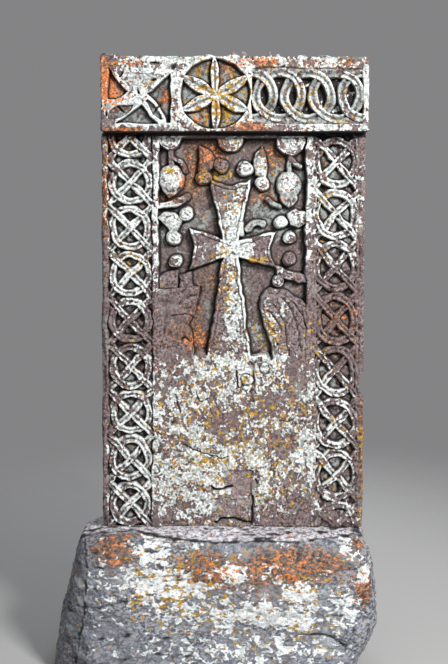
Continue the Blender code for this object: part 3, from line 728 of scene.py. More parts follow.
def lichened_stone(name, stone, crust, stretch=(1, 1, 1)):
    """Weathered stone with three lichens, pitted grain, and painted shade in crevices and recesses.

    stone holds the colours of bare stone, dark and light, of its stains, of its recesses, which
    are painted shade, and of its smooth patches, dark and light; crust holds the pale lichen's,
    dark and light, on the face and then in recesses, darker there as painted shade. Two painted
    layers steer them. growth holds the densities of the pale, orange and ochre lichens; form
    holds crevice, depth below the face, and smoothness, and its crevice and depth darken the
    colour as painted shade. A lichen shows where its density plus a noise passes one half, so it
    has a crisp, lobed edge at any density. stretch is how much closer the pattern lies per axis.
    """
    material = bpy.data.materials.new(name)
    material.use_nodes = True
    tree = material.node_tree
    shader = tree.nodes["Principled BSDF"]
    spots = shader_node(tree, "TexCoord").outputs["Object"]
    place = shader_node(tree, "VectorMath", {0: spots, 1: stretch}, operation="MULTIPLY").outputs[0]

    def speckle(scale, detail=4.0, roughness=0.6, distortion=0.0):
        """Noise over the piece, from nought to one."""
        sockets = {"Vector": place, "Scale": scale, "Detail": detail, "Roughness": roughness}
        return shader_node(tree, "TexNoise", {**sockets, "Distortion": distortion}).outputs["Fac"]

    def sum_of(first, second, operation="ADD"):
        """Two values added, or joined by another operation."""
        return shader_node(tree, "Math", {0: first, 1: second}, operation=operation).outputs[0]

    def mixture(first, first_share, second, second_share):
        """Sum of two values, each times its share."""
        return sum_of(sum_of(first, first_share, "MULTIPLY"), sum_of(second, second_share, "MULTIPLY"))

    def step(value, low, high, bottom=0.0, top=1.0):
        """Smooth slope from bottom to top, while the value goes from low to high."""
        sockets = {"Value": value, "From Min": low, "From Max": high, "To Min": bottom, "To Max": top}
        return shader_node(tree, "MapRange", sockets, interpolation_type="SMOOTHSTEP").outputs["Result"]

    def blend(share, first, second):
        """Colour that goes from the first to the second with the share."""
        sockets = {0: share, 6: first, 7: second}
        return shader_node(tree, "Mix", sockets, data_type="RGBA", blend_type="MIX").outputs[2]

    def painted(layer):
        """Three values of a painted layer."""
        colour = shader_node(tree, "Attribute", attribute_name=layer).outputs["Color"]
        return shader_node(tree, "SeparateColor", {0: colour}).outputs

    def spread(density, noise, amount, soft):
        """Share of a lichen: density plus noise, stepped at one half."""
        swing = sum_of(sum_of(noise, 0.5, "SUBTRACT"), amount, "MULTIPLY")
        return step(sum_of(density, swing), 0.5 - soft, 0.5 + soft)

    bare_dark, bare_light, stain, recess_shade, smooth_dark, smooth_light = ((*shade, 1) for shade in stone)
    crust_dark, crust_light, shaded_crust_dark, shaded_crust_light = ((*shade, 1) for shade in crust)
    rust_dark, rust_light = (0.055, 0.035, 0.025, 1), (0.23, 0.13, 0.075, 1)
    ochre_dark, ochre_light = (0.26, 0.15, 0.025, 1), (0.60, 0.36, 0.06, 1)
    orange_dark, orange_light = (0.38, 0.12, 0.04, 1), (0.80, 0.27, 0.09, 1)
    pit_colour, crevice_shade_and_streak_colour = (0.03, 0.025, 0.025, 1), (0.010, 0.008, 0.009, 1)

    pale_growth, orange_growth, ochre_growth = painted("growth")
    crevice_shade_and_streak_layer, depth_and_side_shade_layer, smooth_layer = painted("form")
    broad, middling, small = speckle(7.0, 3.0), speckle(46.0, 1.5, 0.5, 0.7), speckle(120.0, 2.0, 0.55, 0.4)
    grain = speckle(430.0, 2.0)
    patchy = mixture(middling, 0.68, small, 0.32)

    tone = step(mixture(small, 0.9, grain, 0.55), 0.60, 0.84)
    bare = blend(tone, bare_dark, bare_light)
    bare = blend(step(broad, 0.42, 0.60, 0.0, 0.55), bare, stain)
    # Painted shade: bare stone darkens towards its recess colour the deeper it lies.
    bare = blend(step(depth_and_side_shade_layer, 0.25, 0.9, 0.0, 0.45), bare, recess_shade)
    bare = blend(step(speckle(31.0, 4.0, 0.62, 0.6), 0.54, 0.66, 0.0, 0.42), bare, crust_dark)
    rust = blend(tone, rust_dark, rust_light)
    bare = blend(step(orange_growth, 0.08, 0.34, 0.0, 0.80), bare, rust)
    bare = blend(smooth_layer, bare, blend(tone, smooth_dark, smooth_light))

    pale = spread(pale_growth, patchy, 2.6, 0.055)
    # Painted shade: the pale crust is darker in crevices and deeper down, and takes its darker recess
    # colours on low ground.
    shaded = mixture(crevice_shade_and_streak_layer, 0.30, depth_and_side_shade_layer, 0.10)
    lit = sum_of(small, sum_of(pale_growth, 0.10, "MULTIPLY"))
    pale_tone = step(sum_of(lit, shaded, "SUBTRACT"), 0.31, 0.53)
    pale_colour = blend(pale_tone, crust_dark, crust_light)
    recess_shade_colour = blend(step(patchy, 0.44, 0.58), shaded_crust_dark, shaded_crust_light)
    pale_colour = blend(step(depth_and_side_shade_layer, 0.10, 0.55), pale_colour, recess_shade_colour)
    colour = blend(pale, bare, pale_colour)

    ochre = spread(ochre_growth, speckle(66.0, 3.0, 0.6, 0.4), 2.8, 0.07)
    colour = blend(ochre, colour, blend(tone, ochre_dark, ochre_light))
    orange = spread(orange_growth, speckle(88.0, 4.0, 0.62, 0.3), 2.8, 0.07)
    colour = blend(orange, colour, blend(tone, orange_dark, orange_light))

    colour = blend(step(grain, 0.33, 0.42, 0.60, 0.0), colour, pit_colour)
    # Painted shade: near black in crevices and under the cornice; on the base it also draws the ledge's real
    # dark streaks.
    colour = blend(step(crevice_shade_and_streak_layer, 0.54, 0.84, 0.0, 0.95), colour, crevice_shade_and_streak_colour)
    tree.links.new(colour, shader.inputs["Base Color"])
    tree.links.new(step(pale, 0.0, 1.0, 0.80, 0.95), shader.inputs["Roughness"])
    shader.inputs["Specular IOR Level"].default_value = 0.3

    swell = sum_of(mixture(pale, 0.5, small, 0.7), sum_of(grain, 0.35, "MULTIPLY"))
    bump = shader_node(tree, "Bump", {"Height": swell, "Strength": 0.75, "Distance": 0.0028})
    tree.links.new(bump.outputs["Normal"], shader.inputs["Normal"])
    return material


mauve_stone = lichened_stone(
    "mauve_tuff",
    ((0.050, 0.035, 0.036), (0.285, 0.215, 0.218), (0.160, 0.116, 0.112), (0.098, 0.078, 0.070),
     (0.20, 0.15, 0.155), (0.40, 0.32, 0.33)),
    ((0.33, 0.365, 0.350), (0.83, 0.86, 0.85), (0.10, 0.108, 0.10), (0.29, 0.32, 0.315)),
)

# Where each lichen thrives on the slab's face, and where its stone stays bare, in metres from
# the middle of its foot. The cornice and the base have tables of their own.
pale_patches = (
    (-0.336, 1.034, 0.105, 0.33, 0.74), (-0.336, 0.44, 0.1, 0.16, 0.42),
    (-0.336, 0.13, 0.11, 0.2, 0.48), (0.33, 1.04, 0.1, 0.27, 0.64), (0.31, 0.37, 0.07, 0.19, 0.26),
    (0.32, 0.1, 0.08, 0.14, 0.32), (0.365, 0.3, 0.05, 0.22, 0.22), (0.3, 0.5, 0.06, 0.07, 0.25),
    (-0.21, 1.14, 0.048, 0.05, 0.85), (0.18, 1.12, 0.055, 0.06, 0.85), (-0.2, 1.262, 0.06, 0.04, 0.6),
    (0.0, 1.262, 0.05, 0.045, 0.55), (0.19, 1.262, 0.06, 0.045, 0.66), (-0.195, 1.02, 0.06, 0.04, 0.66),
    (-0.2, 0.95, 0.04, 0.035, 0.7), (-0.185, 0.87, 0.04, 0.03, 0.45), (0.06, 1.15, 0.05, 0.06, 0.62),
    (0.11, 1.13, 0.03, 0.03, 0.45), (0.1, 1.0, 0.12, 0.045, 0.9), (0.15, 0.95, 0.06, 0.03, 0.45),
    (0.008, 1.0, 0.045, 0.12, 0.62), (0.0, 0.9, 0.055, 0.05, 0.6), (-0.105, 0.72, 0.012, 0.04, 0.42),
    (-0.08, 0.9, 0.1, 0.03, 0.36), (0.08, 0.9, 0.07, 0.03, 0.4), (0.002, 0.74, 0.05, 0.16, 0.62),
    (0.15, 0.81, 0.05, 0.03, 0.5), (0.12, 0.7, 0.09, 0.06, 0.25), (0.09, 0.62, 0.05, 0.05, 0.35),
    (-0.02, 0.29, 0.32, 0.3, 0.53), (-0.02, 0.535, 0.22, 0.04, 0.3), (0.16, 0.53, 0.08, 0.05, 0.14),
    (-0.112, 0.98, 0.03, 0.03, 0.45), (-0.06, 0.49, 0.22, 0.075, 0.08), (0.05, 0.19, 0.06, 0.03, 0.45),
    (0.23, 0.25, 0.04, 0.06, 0.35), (-0.1, 0.055, 0.1, 0.045, 0.22), (0.12, 0.48, 0.08, 0.06, 0.12),
    (-0.33, 0.76, 0.1, 0.1, 0.2), (0.13, 1.1, 0.09, 0.14, 0.3), (-0.13, 1.0, 0.09, 0.05, 0.3),
    (-0.16, 0.25, 0.1, 0.2, 0.15), (0.02, 0.17, 0.22, 0.1, 0.1), (0.155, 0.67, 0.07, 0.09, 0.1),
    (0.25, 0.88, 0.03, 0.4, 0.06), (0.0, 0.11, 0.23, 0.09, 0.14),
)
bare_patches = (
    (-0.19, 0.68, 0.095, 0.105, 0.55), (-0.09, 0.66, 0.04, 0.1, 0.35), (0.335, 0.7, 0.085, 0.1, 0.95),
    (0.375, 0.56, 0.03, 0.06, 0.25), (0.345, 0.56, 0.05, 0.05, 0.3), (-0.04, 0.345, 0.075, 0.055, 0.34),
    (-0.2, 0.27, 0.07, 0.045, 0.26), (0.15, 0.26, 0.055, 0.03, 0.4), (0.02, 0.15, 0.045, 0.055, 0.55),
    (-0.02, 0.07, 0.06, 0.05, 0.25), (0.13, 0.4, 0.05, 0.04, 0.3), (0.415, 0.45, 0.016, 0.5, 0.28),
    (-0.421, 0.72, 0.014, 0.26, 0.6), (-0.424, 0.36, 0.012, 0.17, 0.55),
    (-0.12, 0.13, 0.06, 0.015, 0.3), (-0.16, 0.075, 0.035, 0.022, 0.45),
)
orange_patches = (
    (-0.421, 1.08, 0.018, 0.14, 0.42), (-0.13, 1.17, 0.06, 0.13, 0.3), (0.12, 1.21, 0.06, 0.06, 0.31),
    (0.11, 1.08, 0.1, 0.04, 0.3), (-0.06, 1.22, 0.05, 0.04, 0.34), (-0.21, 1.07, 0.05, 0.03, 0.26),
    (-0.125, 0.69, 0.03, 0.07, 0.2), (-0.11, 0.6, 0.05, 0.03, 0.34), (-0.365, 1.25, 0.06, 0.03, 0.34),
    (-0.18, 0.63, 0.08, 0.05, 0.22), (0.0, 0.3, 0.42, 0.3, 0.06), (0.414, 0.25, 0.014, 0.2, 0.26),
    (-0.08, 0.8, 0.06, 0.06, 0.22), (-0.175, 1.125, 0.02, 0.015, 0.35), (0.345, 0.68, 0.08, 0.11, 0.22),
)
ochre_patches = (
    (-0.095, 1.14, 0.055, 0.035, 0.48), (-0.04, 1.155, 0.03, 0.03, 0.4),
    (0.0, 1.245, 0.035, 0.025, 0.46), (-0.215, 1.16, 0.03, 0.012, 0.52), (-0.33, 0.88, 0.07, 0.07, 0.3),
    (0.01, 1.05, 0.05, 0.06, 0.26), (0.08, 0.868, 0.06, 0.012, 0.56), (-0.03, 0.79, 0.05, 0.12, 0.28),
    (-0.045, 0.895, 0.05, 0.018, 0.34), (0.0, 0.29, 0.33, 0.29, 0.29), (-0.1, 0.2, 0.1, 0.09, 0.06),
    (0.29, 1.04, 0.03, 0.2, 0.28), (0.12, 0.64, 0.08, 0.08, 0.28), (0.3, 0.62, 0.1, 0.1, 0.22),
    (0.414, 0.2, 0.015, 0.22, 0.38), (0.12, 1.165, 0.05, 0.05, 0.26), (-0.07, 1.02, 0.07, 0.05, 0.18),
)
smooth_patches = ((0.012, 0.14, 0.048, 0.05, 0.9), (-0.02, 0.055, 0.05, 0.03, 0.5))
plain_growth = (0.30, 0.08, 0.14)


def paint_stone(mesh, on_face, across, up, crevices, depth, patches):
    """Lichen densities from the patches on the carved face, and even ones on the other sides.

    on_face is a point's share of the face, from nought to one, and each density is the mean
    of both by that share. The pale crust prefers what stands proud, and is thinner on low
    ground.
    """
    pale, bare, orange, ochre = (oval_patches(across, up, group) for group in patches)
    full_hollow, most_pale = 0.006, 0.76
    hollow = np.clip(crevices / full_hollow, -1, 1)
    drift = lattice_noise(np.stack([across, up, 0.3 * (1 - on_face)], axis=-1), 0.16, 71)
    pale = np.clip(pale, 0, most_pale) - bare - 0.24 * np.clip(hollow, 0, 1) + 0.22 * np.clip(-hollow, 0, 1)
    growth = (
        (pale - 0.09 * depth, plain_growth[0] + 0.24 * drift),
        (orange, plain_growth[1] + 0.10 * drift),
        (ochre - 0.15 * bare, plain_growth[2] - 0.06 * drift),
    )
    paint(mesh, "growth", [carved * on_face + plain * (1 - on_face) for carved, plain in growth])
    smooth = oval_patches(across, up, smooth_patches)
    # The crevice and depth channels darken the colour in the material as painted shade.
    paint(mesh, "form", (0.5 + 0.5 * hollow, np.clip(depth, 0, 1), smooth * on_face))


def relief_at(relief, row, column, on_face, full_depth):
    """Crevice and depth below the face at each point of the carving, and nought elsewhere."""
    hollow = np.where(on_face, looked_up(crevice(relief), row, column), 0)
    return hollow, np.where(on_face, -looked_up(relief, row, column) / full_depth, 0)


slab_kept_share = 0.27
carving_back, face_end = 0.042, 0.052
face_share = np.linspace(0, 1, face_steps + 1)
grid_share, grid_up = np.meshgrid(face_share, np.linspace(0, slab_head, slab_rows))
grid_right = slab_right - foot_narrowing * (1 - grid_up / slab_head)
face_relief = slab_relief(slab_left + grid_share * (grid_right - slab_left), grid_up)
slab_mesh = thinned("slab", shell_mesh("slab_carving", slab_shell(face_relief[:, :-1])), slab_kept_share)
slab_points = mesh_points(slab_mesh) - (slab_middle, slab_face, slab_foot)
point_right = slab_right - foot_narrowing * (1 - slab_points[:, 2] / slab_head)
point_row = slab_points[:, 2] / slab_head * (slab_rows - 1)
point_column = (slab_points[:, 0] - slab_left) / (point_right - slab_left) * face_steps
on_carving = slab_points[:, 1] < carving_back
slab_face_share = inside(slab_points[:, 1] - face_end, 0.014)
slab_hollow_and_shadow, slab_depth = relief_at(face_relief, point_row, point_column, on_carving, field_depth)
# Painted shadow: the face just under the cornice is counted as a deep crevice, so it is drawn dark as if in
# the cornice's shade.
slab_hollow_and_shadow += 0.009 * inside(cornice_bottom - 0.010 - slab_points[:, 2], 0.004) * on_carving
paint_stone(
    slab_mesh, slab_face_share, slab_points[:, 0], slab_points[:, 2], slab_hollow_and_shadow, slab_depth,
    (pale_patches, bare_patches, orange_patches, ochre_patches),
)
add_piece("slab", slab_mesh, "carved_slab", mauve_stone)


# The head of the slab: the same stone, left standing forward as a cornice and carved with a
# frieze of a flower panel, a six-petalled rosette and a chain of interlocked rings.
cornice_height = 0.2425
cornice_top = cornice_bottom + cornice_height
cornice_left, cornice_right = slab_left - 0.002, slab_right + 0.002
corner_radius = 0.016
frieze_top, frieze_foot = cornice_top - 0.038, cornice_bottom + 0.0235
frieze_height = frieze_top - frieze_foot
frieze_middle = (frieze_top + frieze_foot) / 2
frieze_depth = 0.018
flower_left, flower_width = cornice_left + 0.024, 0.2015
rosette_radius = 0.112
rosette_middle = (-0.063, frieze_middle + 0.0075)
chain_left, chain_right = 0.0555, 0.4115
chain_pitch = 0.0912
chain_depth = 0.024


def flower_relief(across, up):
    """Square panel, sunk in three corners round a bowl and two slotted petals.

    Places are shares of the panel from its top left corner. Its cuts are oval bells, and each
    slot stops short of its petal's outline, which leaves a rim.
    """
    petal_rim, panel_size = 0.0080, 0.19
    share, down = (across - flower_left) / flower_width, (frieze_top - up) / frieze_height
    sunk = np.full_like(across, 9.0)
    for corners in (
        [(0.0, 0.02), (0.30, 0.43), (0.14, 0.57), (0.0, 0.57)],
        [(1.0, 0.11), (0.69, 0.40), (0.62, 0.45), (0.76, 0.62), (0.90, 0.84), (0.95, 0.985), (1.0, 0.985)],
        [(0.52, 0.66), (0.36, 0.80), (0.14, 0.985), (0.80, 0.985), (0.66, 0.85)],
    ):
        sunk = np.minimum(sunk, outline_of(share, down, corners) * panel_size)
    height = -frieze_depth * inside(sunk, 0.0026)
    for x, y, wide, tall, turn, depth in (
        (0.215, 0.125, 0.018, 0.055, -0.5, 0.012), (0.722, 0.196, 0.045, 0.022, 0.2, 0.012),
        (0.754, -0.09, 0.085, 0.020, 0.0, 0.010), (1.040, -0.02, 0.045, 0.050, 0.0, 0.014),
        (0.484, 0.430, 0.022, 0.050, 0.2, 0.012), (0.210, 0.745, 0.020, 0.085, 0.8, 0.010),
        (0.770, 0.735, 0.020, 0.080, -0.6, 0.010), (-0.020, 0.820, 0.022, 0.050, 0.0, 0.010),
    ):
        dx, dy = share - x, down - y
        along = dx * math.cos(turn) - dy * math.sin(turn)
        aside = dx * math.sin(turn) + dy * math.cos(turn)
        height -= depth * np.exp(-(((along / wide) ** 2 + (aside / tall) ** 2) ** 1.5))
    slots = np.zeros_like(across)
    for slot, corners in (
        (0.0105, [(0.46, 0.62), (0.33, 0.60), (0.16, 0.64), (0.00, 0.74), (-0.06, 0.93), (0.12, 0.96),
                  (0.30, 0.88), (0.40, 0.77)]),
        (0.0105, [(0.53, 0.58), (0.62, 0.52), (0.76, 0.64), (0.88, 0.82), (0.93, 0.97), (0.82, 0.97),
                  (0.68, 0.85)]),
        (0.0035, [(0.03, 0.03), (0.31, 0.39), (0.50, 0.37), (0.69, 0.36), (0.97, 0.08)]),
    ):
        petal = outline_of(share, down, corners) * panel_size
        slots = np.maximum(slots, slot * inside(petal + petal_rim, 0.0020))
    return height - slots * (sunk > 0)


def rosette_relief(across, up):
    """Sunk disc with six petals that meet just below its middle, each rimmed and slotted.

    A petal's half width goes with the sine of the way along it, to the power 0.55.
    """
    x, y = across - rosette_middle[0], up - rosette_middle[1]
    height = -frieze_depth * inside(np.hypot(x, y) - rosette_radius, 0.0028)
    hub_x, hub_y, hub_radius = 0.002, -0.008, 0.020
    petal_top, petal_reach = -0.0005, rosette_radius + 0.004
    petals = ((90, 0.25), (152, 0.36), (207, 0.36), (270, 0.25), (333, 0.36), (28, 0.36))
    for degrees, width in petals:
        turn = math.radians(degrees)
        tip_x = math.cos(turn) * petal_reach - hub_x
        tip_y = math.sin(turn) * petal_reach - hub_y
        length = math.hypot(tip_x, tip_y)
        along = ((x - hub_x) * tip_x + (y - hub_y) * tip_y) / length
        side = ((x - hub_x) * tip_y - (y - hub_y) * tip_x) / length
        share = np.clip(along / length, 0, 1)
        half = width * rosette_radius / 2 * np.sin(np.pi * np.clip(share * 0.96 + 0.02, 0, 1)) ** 0.55
        distance = np.maximum(np.abs(side) - half, np.maximum(along - length, -along))
        slot = 0.0065 * ridge(side, 0.22 * half + 0.001) * np.sin(np.pi * share) ** 0.5
        height = raise_form(height, -frieze_depth, distance, petal_top - slot)
    hub = np.hypot(x - hub_x, y - hub_y)
    return raise_form(height, -frieze_depth, hub - hub_radius, petal_top - 0.003 * ridge(hub, 0.004))


def chain_relief(across, up):
    """Interlocked rings: over the right neighbour at the top crossing and under it below.

    A ring's height goes with the sine of twice the angle, so it alternates at its crossings.
    """
    edge = box_edge(across, up, chain_left, frieze_foot, chain_right, frieze_top)
    y = up - (frieze_middle + 0.002)
    radius, half, before_first, ring_count = 0.0742, 0.0152, 0.0028, 5
    rings = []
    for index in range(ring_count):
        x = across - chain_left + before_first - chain_pitch * index
        rings.append((x, np.hypot(x, y) - radius))
    beyond = np.min([ring for _, ring in rings], axis=0)
    height = -chain_depth + (chain_depth - 0.007) * inside(-beyond, 0.004)
    for x, ring in rings:
        level = -0.0035 + 0.0030 * np.sin(2 * np.arctan2(y, x))
        height = raise_form(height, -chain_depth, np.abs(ring) - half, band_top(ring, half, level, 0.0055))
    return np.where(edge < 0.006, height * inside(edge, 0.0026), 0.0)


def frieze_relief(across, up):
    """Height of the carved frieze: its three panels with unsteady lines, then wear and spalls."""
    spots = np.stack([across, np.ones_like(across), up], axis=-1)
    coarse, fine = (0.0038, 0.055), (0.0018, 0.017)
    x = across + unsteady(spots, coarse, fine, 81)
    y = up + unsteady(spots, coarse, fine, 83)
    height = np.minimum(flower_relief(x, y), np.minimum(rosette_relief(x, y), chain_relief(x, y)))
    spalled = np.clip(rough_stone(spots, (0.026, 0.011), 86) - 0.6, 0, 1)
    return height - 0.0012 * (1 + rough_stone(spots, (0.035, 0.014, 0.007), 85)) - 0.005 * spalled


front_rows, under_rows, back_rows, top_rows, cornice_steps, end_steps = 170, 44, 60, 72, 520, 9
cornice_front, cornice_back = -cornice_projection, slab_thickness + 0.002


def cornice_shell(relief):
    """Rings round the head's upright section, from its left end to its right.

    Each ring runs down the carved front, back along the underside, up the back and forward
    over the top; the rings of both ends shrink towards the middle and so close them.
    """
    def run(first, last, count):
        """Even steps from the first value up to, and without, the last."""
        return np.linspace(first, last, count, endpoint=False)

    back = np.concatenate([
        np.full(front_rows, cornice_front), run(cornice_front, cornice_back, under_rows),
        np.full(back_rows, cornice_back), run(cornice_back, cornice_front, top_rows),
    ])
    up = np.concatenate([
        run(cornice_top, cornice_bottom, front_rows), np.full(under_rows, cornice_bottom),
        run(cornice_bottom, cornice_top, back_rows), np.full(top_rows, cornice_top),
    ])
    shrink = np.concatenate([np.linspace(0.1, 0.96, end_steps), np.ones(cornice_steps)])
    shrink = np.concatenate([shrink, np.linspace(0.96, 0.1, end_steps)])
    across = np.concatenate([
        np.full(end_steps, cornice_left), np.linspace(cornice_left, cornice_right, cornice_steps),
        np.full(end_steps, cornice_right),
    ])
    middle = ((cornice_front + cornice_back) / 2, (cornice_bottom + cornice_top) / 2)
    across_grid, back_grid = np.meshgrid(across, back, indexing="ij")
    up_grid = middle[1] + shrink[:, None] * (up - middle[1])
    back_grid = middle[0] + shrink[:, None] * (back_grid - middle[0])
    points = np.stack([across_grid, back_grid, up_grid], axis=-1)

    to_right = cornice_right - across_grid
    to_left = across_grid - cornice_left
    # Every edge where two sides meet is worn off, and the right top corner is rounded.
    wear = 0.0045 + 0.0025 * rough_stone(points, (0.050, 0.016), 91)
    for gap, way in ((to_left, 1), (to_right, -1)):
        for axis, near, turn in ((1, back_grid - cornice_front, 1), (2, cornice_top - up_grid, -1),
                                 (2, up_grid - cornice_bottom, 1)):
            cut = np.maximum(wear - gap - near, 0) / 2
            points[..., axis] += turn * cut
            points[..., 0] += way * cut
    for near, turn in ((cornice_top - up_grid, -1), (up_grid - cornice_bottom, 1)):
        cut = np.maximum(wear - (back_grid - cornice_front) - near, 0) / 2
        points[..., 1] += cut
        points[..., 2] += turn * cut
    corner_up = np.maximum(up_grid - (cornice_top - corner_radius), 0)
    corner_across = np.maximum(corner_radius - to_right, 0)
    over = np.maximum(np.hypot(corner_up, corner_across) - corner_radius, 0)
    far = np.hypot(corner_up, corner_across) + 1e-9
    points[..., 2] -= over * corner_up / far
    points[..., 0] -= over * corner_across / far

    on_end = np.minimum(to_left, to_right) < 1e-6
    tooled = tooling(points)
    points[..., 0] += end_tooling * tooled * on_end * np.sign(across_grid)
    front = slice(0, front_rows)
    points[end_steps:-end_steps, front, 1] -= relief.T[:, ::-1][:, :front_rows]
    points[:, front, 1] += 0.0010 * rough_stone(points * (1, 0, 1), *face_grain)[:, front]
    low, high = front_rows + under_rows, front_rows + under_rows + back_rows
    points[:, low:high, 1] += back_tooling * tooled[:, low:high] * ~on_end[:, low:high]
    tops = slice(high, None)
    points[:, tops, 2] += 0.0030 * tooled[:, tops] * ~on_end[:, tops]

    # Tufts of lichen stand on the top's front edge, each as (place, height, half width), and
    # the edge itself is higher at its left end than beyond the middle.
    tufts = 0.007 * inside(across_grid + 0.365, 0.03) - 0.005 * inside(0.045 - across_grid, 0.02)
    for place, tall, wide in (
        (-0.002, 0.014, 0.013), (0.031, 0.016, 0.010), (0.113, 0.017, 0.006), (0.139, 0.011, 0.006),
        (0.209, 0.010, 0.021), (0.285, 0.009, 0.026), (0.352, 0.005, 0.014), (-0.090, 0.004, 0.020),
    ):
        tufts += tall * ridge(across_grid - place, wide, 4)
    ragged = 0.8 + 0.5 * rough_stone(points, (0.010, 0.005), 95)
    near_front = ridge(back_grid - cornice_front - 0.010, 0.030)
    points[..., 2] += tufts * ragged * near_front * (cornice_top - up_grid < 0.002)
    return points + (slab_middle, slab_face, slab_foot)


frieze_up = np.linspace(cornice_bottom, cornice_top, front_rows + 1)
frieze_places = np.linspace(cornice_left, cornice_right, cornice_steps)
head_relief = frieze_relief(*np.meshgrid(frieze_places, frieze_up))
head_kept_share = 0.36
head_mesh = thinned("cornice", shell_mesh("cornice_carving", cornice_shell(head_relief)), head_kept_share)
head_points = mesh_points(head_mesh) - (slab_middle, slab_face, slab_foot)
head_row = (head_points[:, 2] - cornice_bottom) / cornice_height * front_rows
head_column = (head_points[:, 0] - cornice_left) / (cornice_right - cornice_left) * (cornice_steps - 1)
head_face = head_points[:, 1] < cornice_front + 0.026
head_face_share = inside(head_points[:, 1] - cornice_front - 0.045, 0.014)
head_hollow_and_shade, head_depth = relief_at(head_relief, head_row, head_column, head_face, frieze_depth)
# Painted shade: holes cut deeper than the frieze's floor, as the chain's are, are drawn darker.
head_hollow_and_shade += 0.0045 * np.clip((head_depth - 1.0) / 0.25, 0, 1)
head_under = (head_points[:, 2] < cornice_bottom + 0.003) & (head_points[:, 1] > cornice_front + 0.006)
# Painted shade: the cornice's underside, where it stands out over the slab, is drawn dark.
head_hollow_and_shade += 0.010 * (head_under & (head_points[:, 1] < 0.02))
head_pale = (
    (-0.3, 1.4, 0.16, 0.14, 0.74), (-0.07, 1.4, 0.16, 0.14, 0.72), (0.24, 1.4, 0.22, 0.13, 0.8),
    (-0.3, 1.33, 0.12, 0.05, 0.2), (-0.19, 1.4, 0.03, 0.13, 0.3), (0.0, 1.515, 0.43, 0.014, 0.35),
    (0.425, 1.4, 0.03, 0.12, 0.4), (0.25, 1.29, 0.2, 0.02, 0.3),
)
head_bare = (
    (-0.03, 1.4, 0.03, 0.03, 0.15), (0.1, 1.292, 0.12, 0.012, 0.35), (-0.3, 1.288, 0.12, 0.01, 0.25),
    (-0.2, 1.37, 0.015, 0.03, 0.3),
)
head_orange = (
    (-0.415, 1.45, 0.022, 0.07, 0.62), (-0.385, 1.4, 0.04, 0.06, 0.5), (-0.22, 1.385, 0.03, 0.03, 0.4),
    (-0.36, 1.285, 0.07, 0.01, 0.52), (0.09, 1.505, 0.09, 0.018, 0.4), (-0.33, 1.5, 0.09, 0.012, 0.36),
    (0.0, 1.4, 0.45, 0.13, 0.1), (-0.11, 1.33, 0.04, 0.03, 0.32), (0.33, 1.5, 0.1, 0.02, 0.26),
    (0.05, 1.3, 0.08, 0.02, 0.3), (-0.02, 1.485, 0.05, 0.03, 0.26),
)
head_ochre = (
    (-0.06, 1.4, 0.11, 0.11, 0.44), (-0.27, 1.43, 0.05, 0.02, 0.38), (-0.33, 1.495, 0.07, 0.02, 0.34),
    (0.23, 1.4, 0.2, 0.1, 0.24), (-0.1, 1.48, 0.03, 0.03, 0.25), (-0.03, 1.34, 0.04, 0.03, 0.22),
)
paint_stone(
    head_mesh, head_face_share, head_points[:, 0], head_points[:, 2], head_hollow_and_shade, head_depth,
    (head_pale, head_bare, head_orange, head_ochre),
)
add_piece("cornice", head_mesh, "carved_slab", mauve_stone)


# The base: an undressed boulder-like block of grey stone, only levelled where the slab stands
# on it. Its faces are split along bedding lines and heavily grown with lichen.
base_grain, relaxing_rounds, bulge_limit = 0.0057, 9, 0.008
rough_block = placed("block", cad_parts["base_block"].data.copy())
weld = rough_block.modifiers.new("merge", "WELD")
weld.merge_threshold = 0.0001
remesh = rough_block.modifiers.new("even", "REMESH")
remesh.mode = "VOXEL"
remesh.voxel_size = base_grain
base_mesh = finished_mesh("base", rough_block)
if "sharp_edge" in base_mesh.attributes:
    base_mesh.attributes.remove(base_mesh.attributes["sharp_edge"])
edges = np.empty(len(base_mesh.edges) * 2, np.int32)
base_mesh.edges.foreach_get("vertices", edges)
edges = edges.reshape(-1, 2)
base_points = mesh_points(base_mesh)
block_points = base_points.copy()
neighbours = np.bincount(edges.ravel(), minlength=len(base_points))[:, None]


def relaxed(points, rounds):
    """Points moved to the average of their neighbours, a number of times over."""
    for _ in range(rounds):
        total = np.zeros_like(points)
        for first, last in ((0, 1), (1, 0)):
            for axis in range(3):
                total[:, axis] += np.bincount(
                    edges[:, first], weights=points[edges[:, last], axis], minlength=len(points)
                )
        points = 0.4 * points + 0.6 * total / neighbours
    return points


base_points = relaxed(base_points, relaxing_rounds)
base_x, base_y, base_z = base_points.T
facing = np.empty(len(base_points) * 3, np.float32)
base_mesh.vertices.foreach_get("normal", facing)
facing = facing.reshape(-1, 3).astype(float)
local = base_points - (slab_middle, slab_face, 0)

# Lumps, chips and thin splits along the bedding push the surface out or in along its normal.
# Each split is (height in the middle, rise along x, depth, left end, right end).
lumps = 0.0065 * rough_stone(base_points, (0.085, 0.034), 101)
chipped = 0.0042 * rough_stone(base_points * (1, 1, 1.5), (0.022, 0.011, 0.006), 103)
bedding = np.zeros(len(base_points))
split_width = 0.0035
splits = (
    (0.385, 0.05, 0.003, -0.6, -0.05), (0.300, 0.12, 0.003, -0.6, -0.15), (0.345, -0.03, 0.002, -0.3, 0.15),
    (0.215, 0.16, 0.003, -0.6, -0.20), (0.120, 0.10, 0.003, -0.6, 0.0), (0.255, -0.08, 0.003, 0.1, 0.6),
    (0.170, 0.12, 0.002, -0.6, -0.1), (0.262, 0.10, 0.002, -0.5, -0.1), (0.075, 0.05, 0.002, -0.3, 0.3),
)
for level, rise, depth, start, stop in splits:
    wander = 0.012 * lattice_noise(base_points * (1, 1, 0), 0.09, 107 + int(1000 * level))
    line = base_z - level - rise * base_x - wander
    within = inside(start - base_x, 0.05) * inside(base_x - stop, 0.05)
    bedding += depth * ridge(line, split_width) * within
arch_middle, arch_top, arch_curve = 0.305, 0.170, 3.2
arch_x = base_x - arch_middle
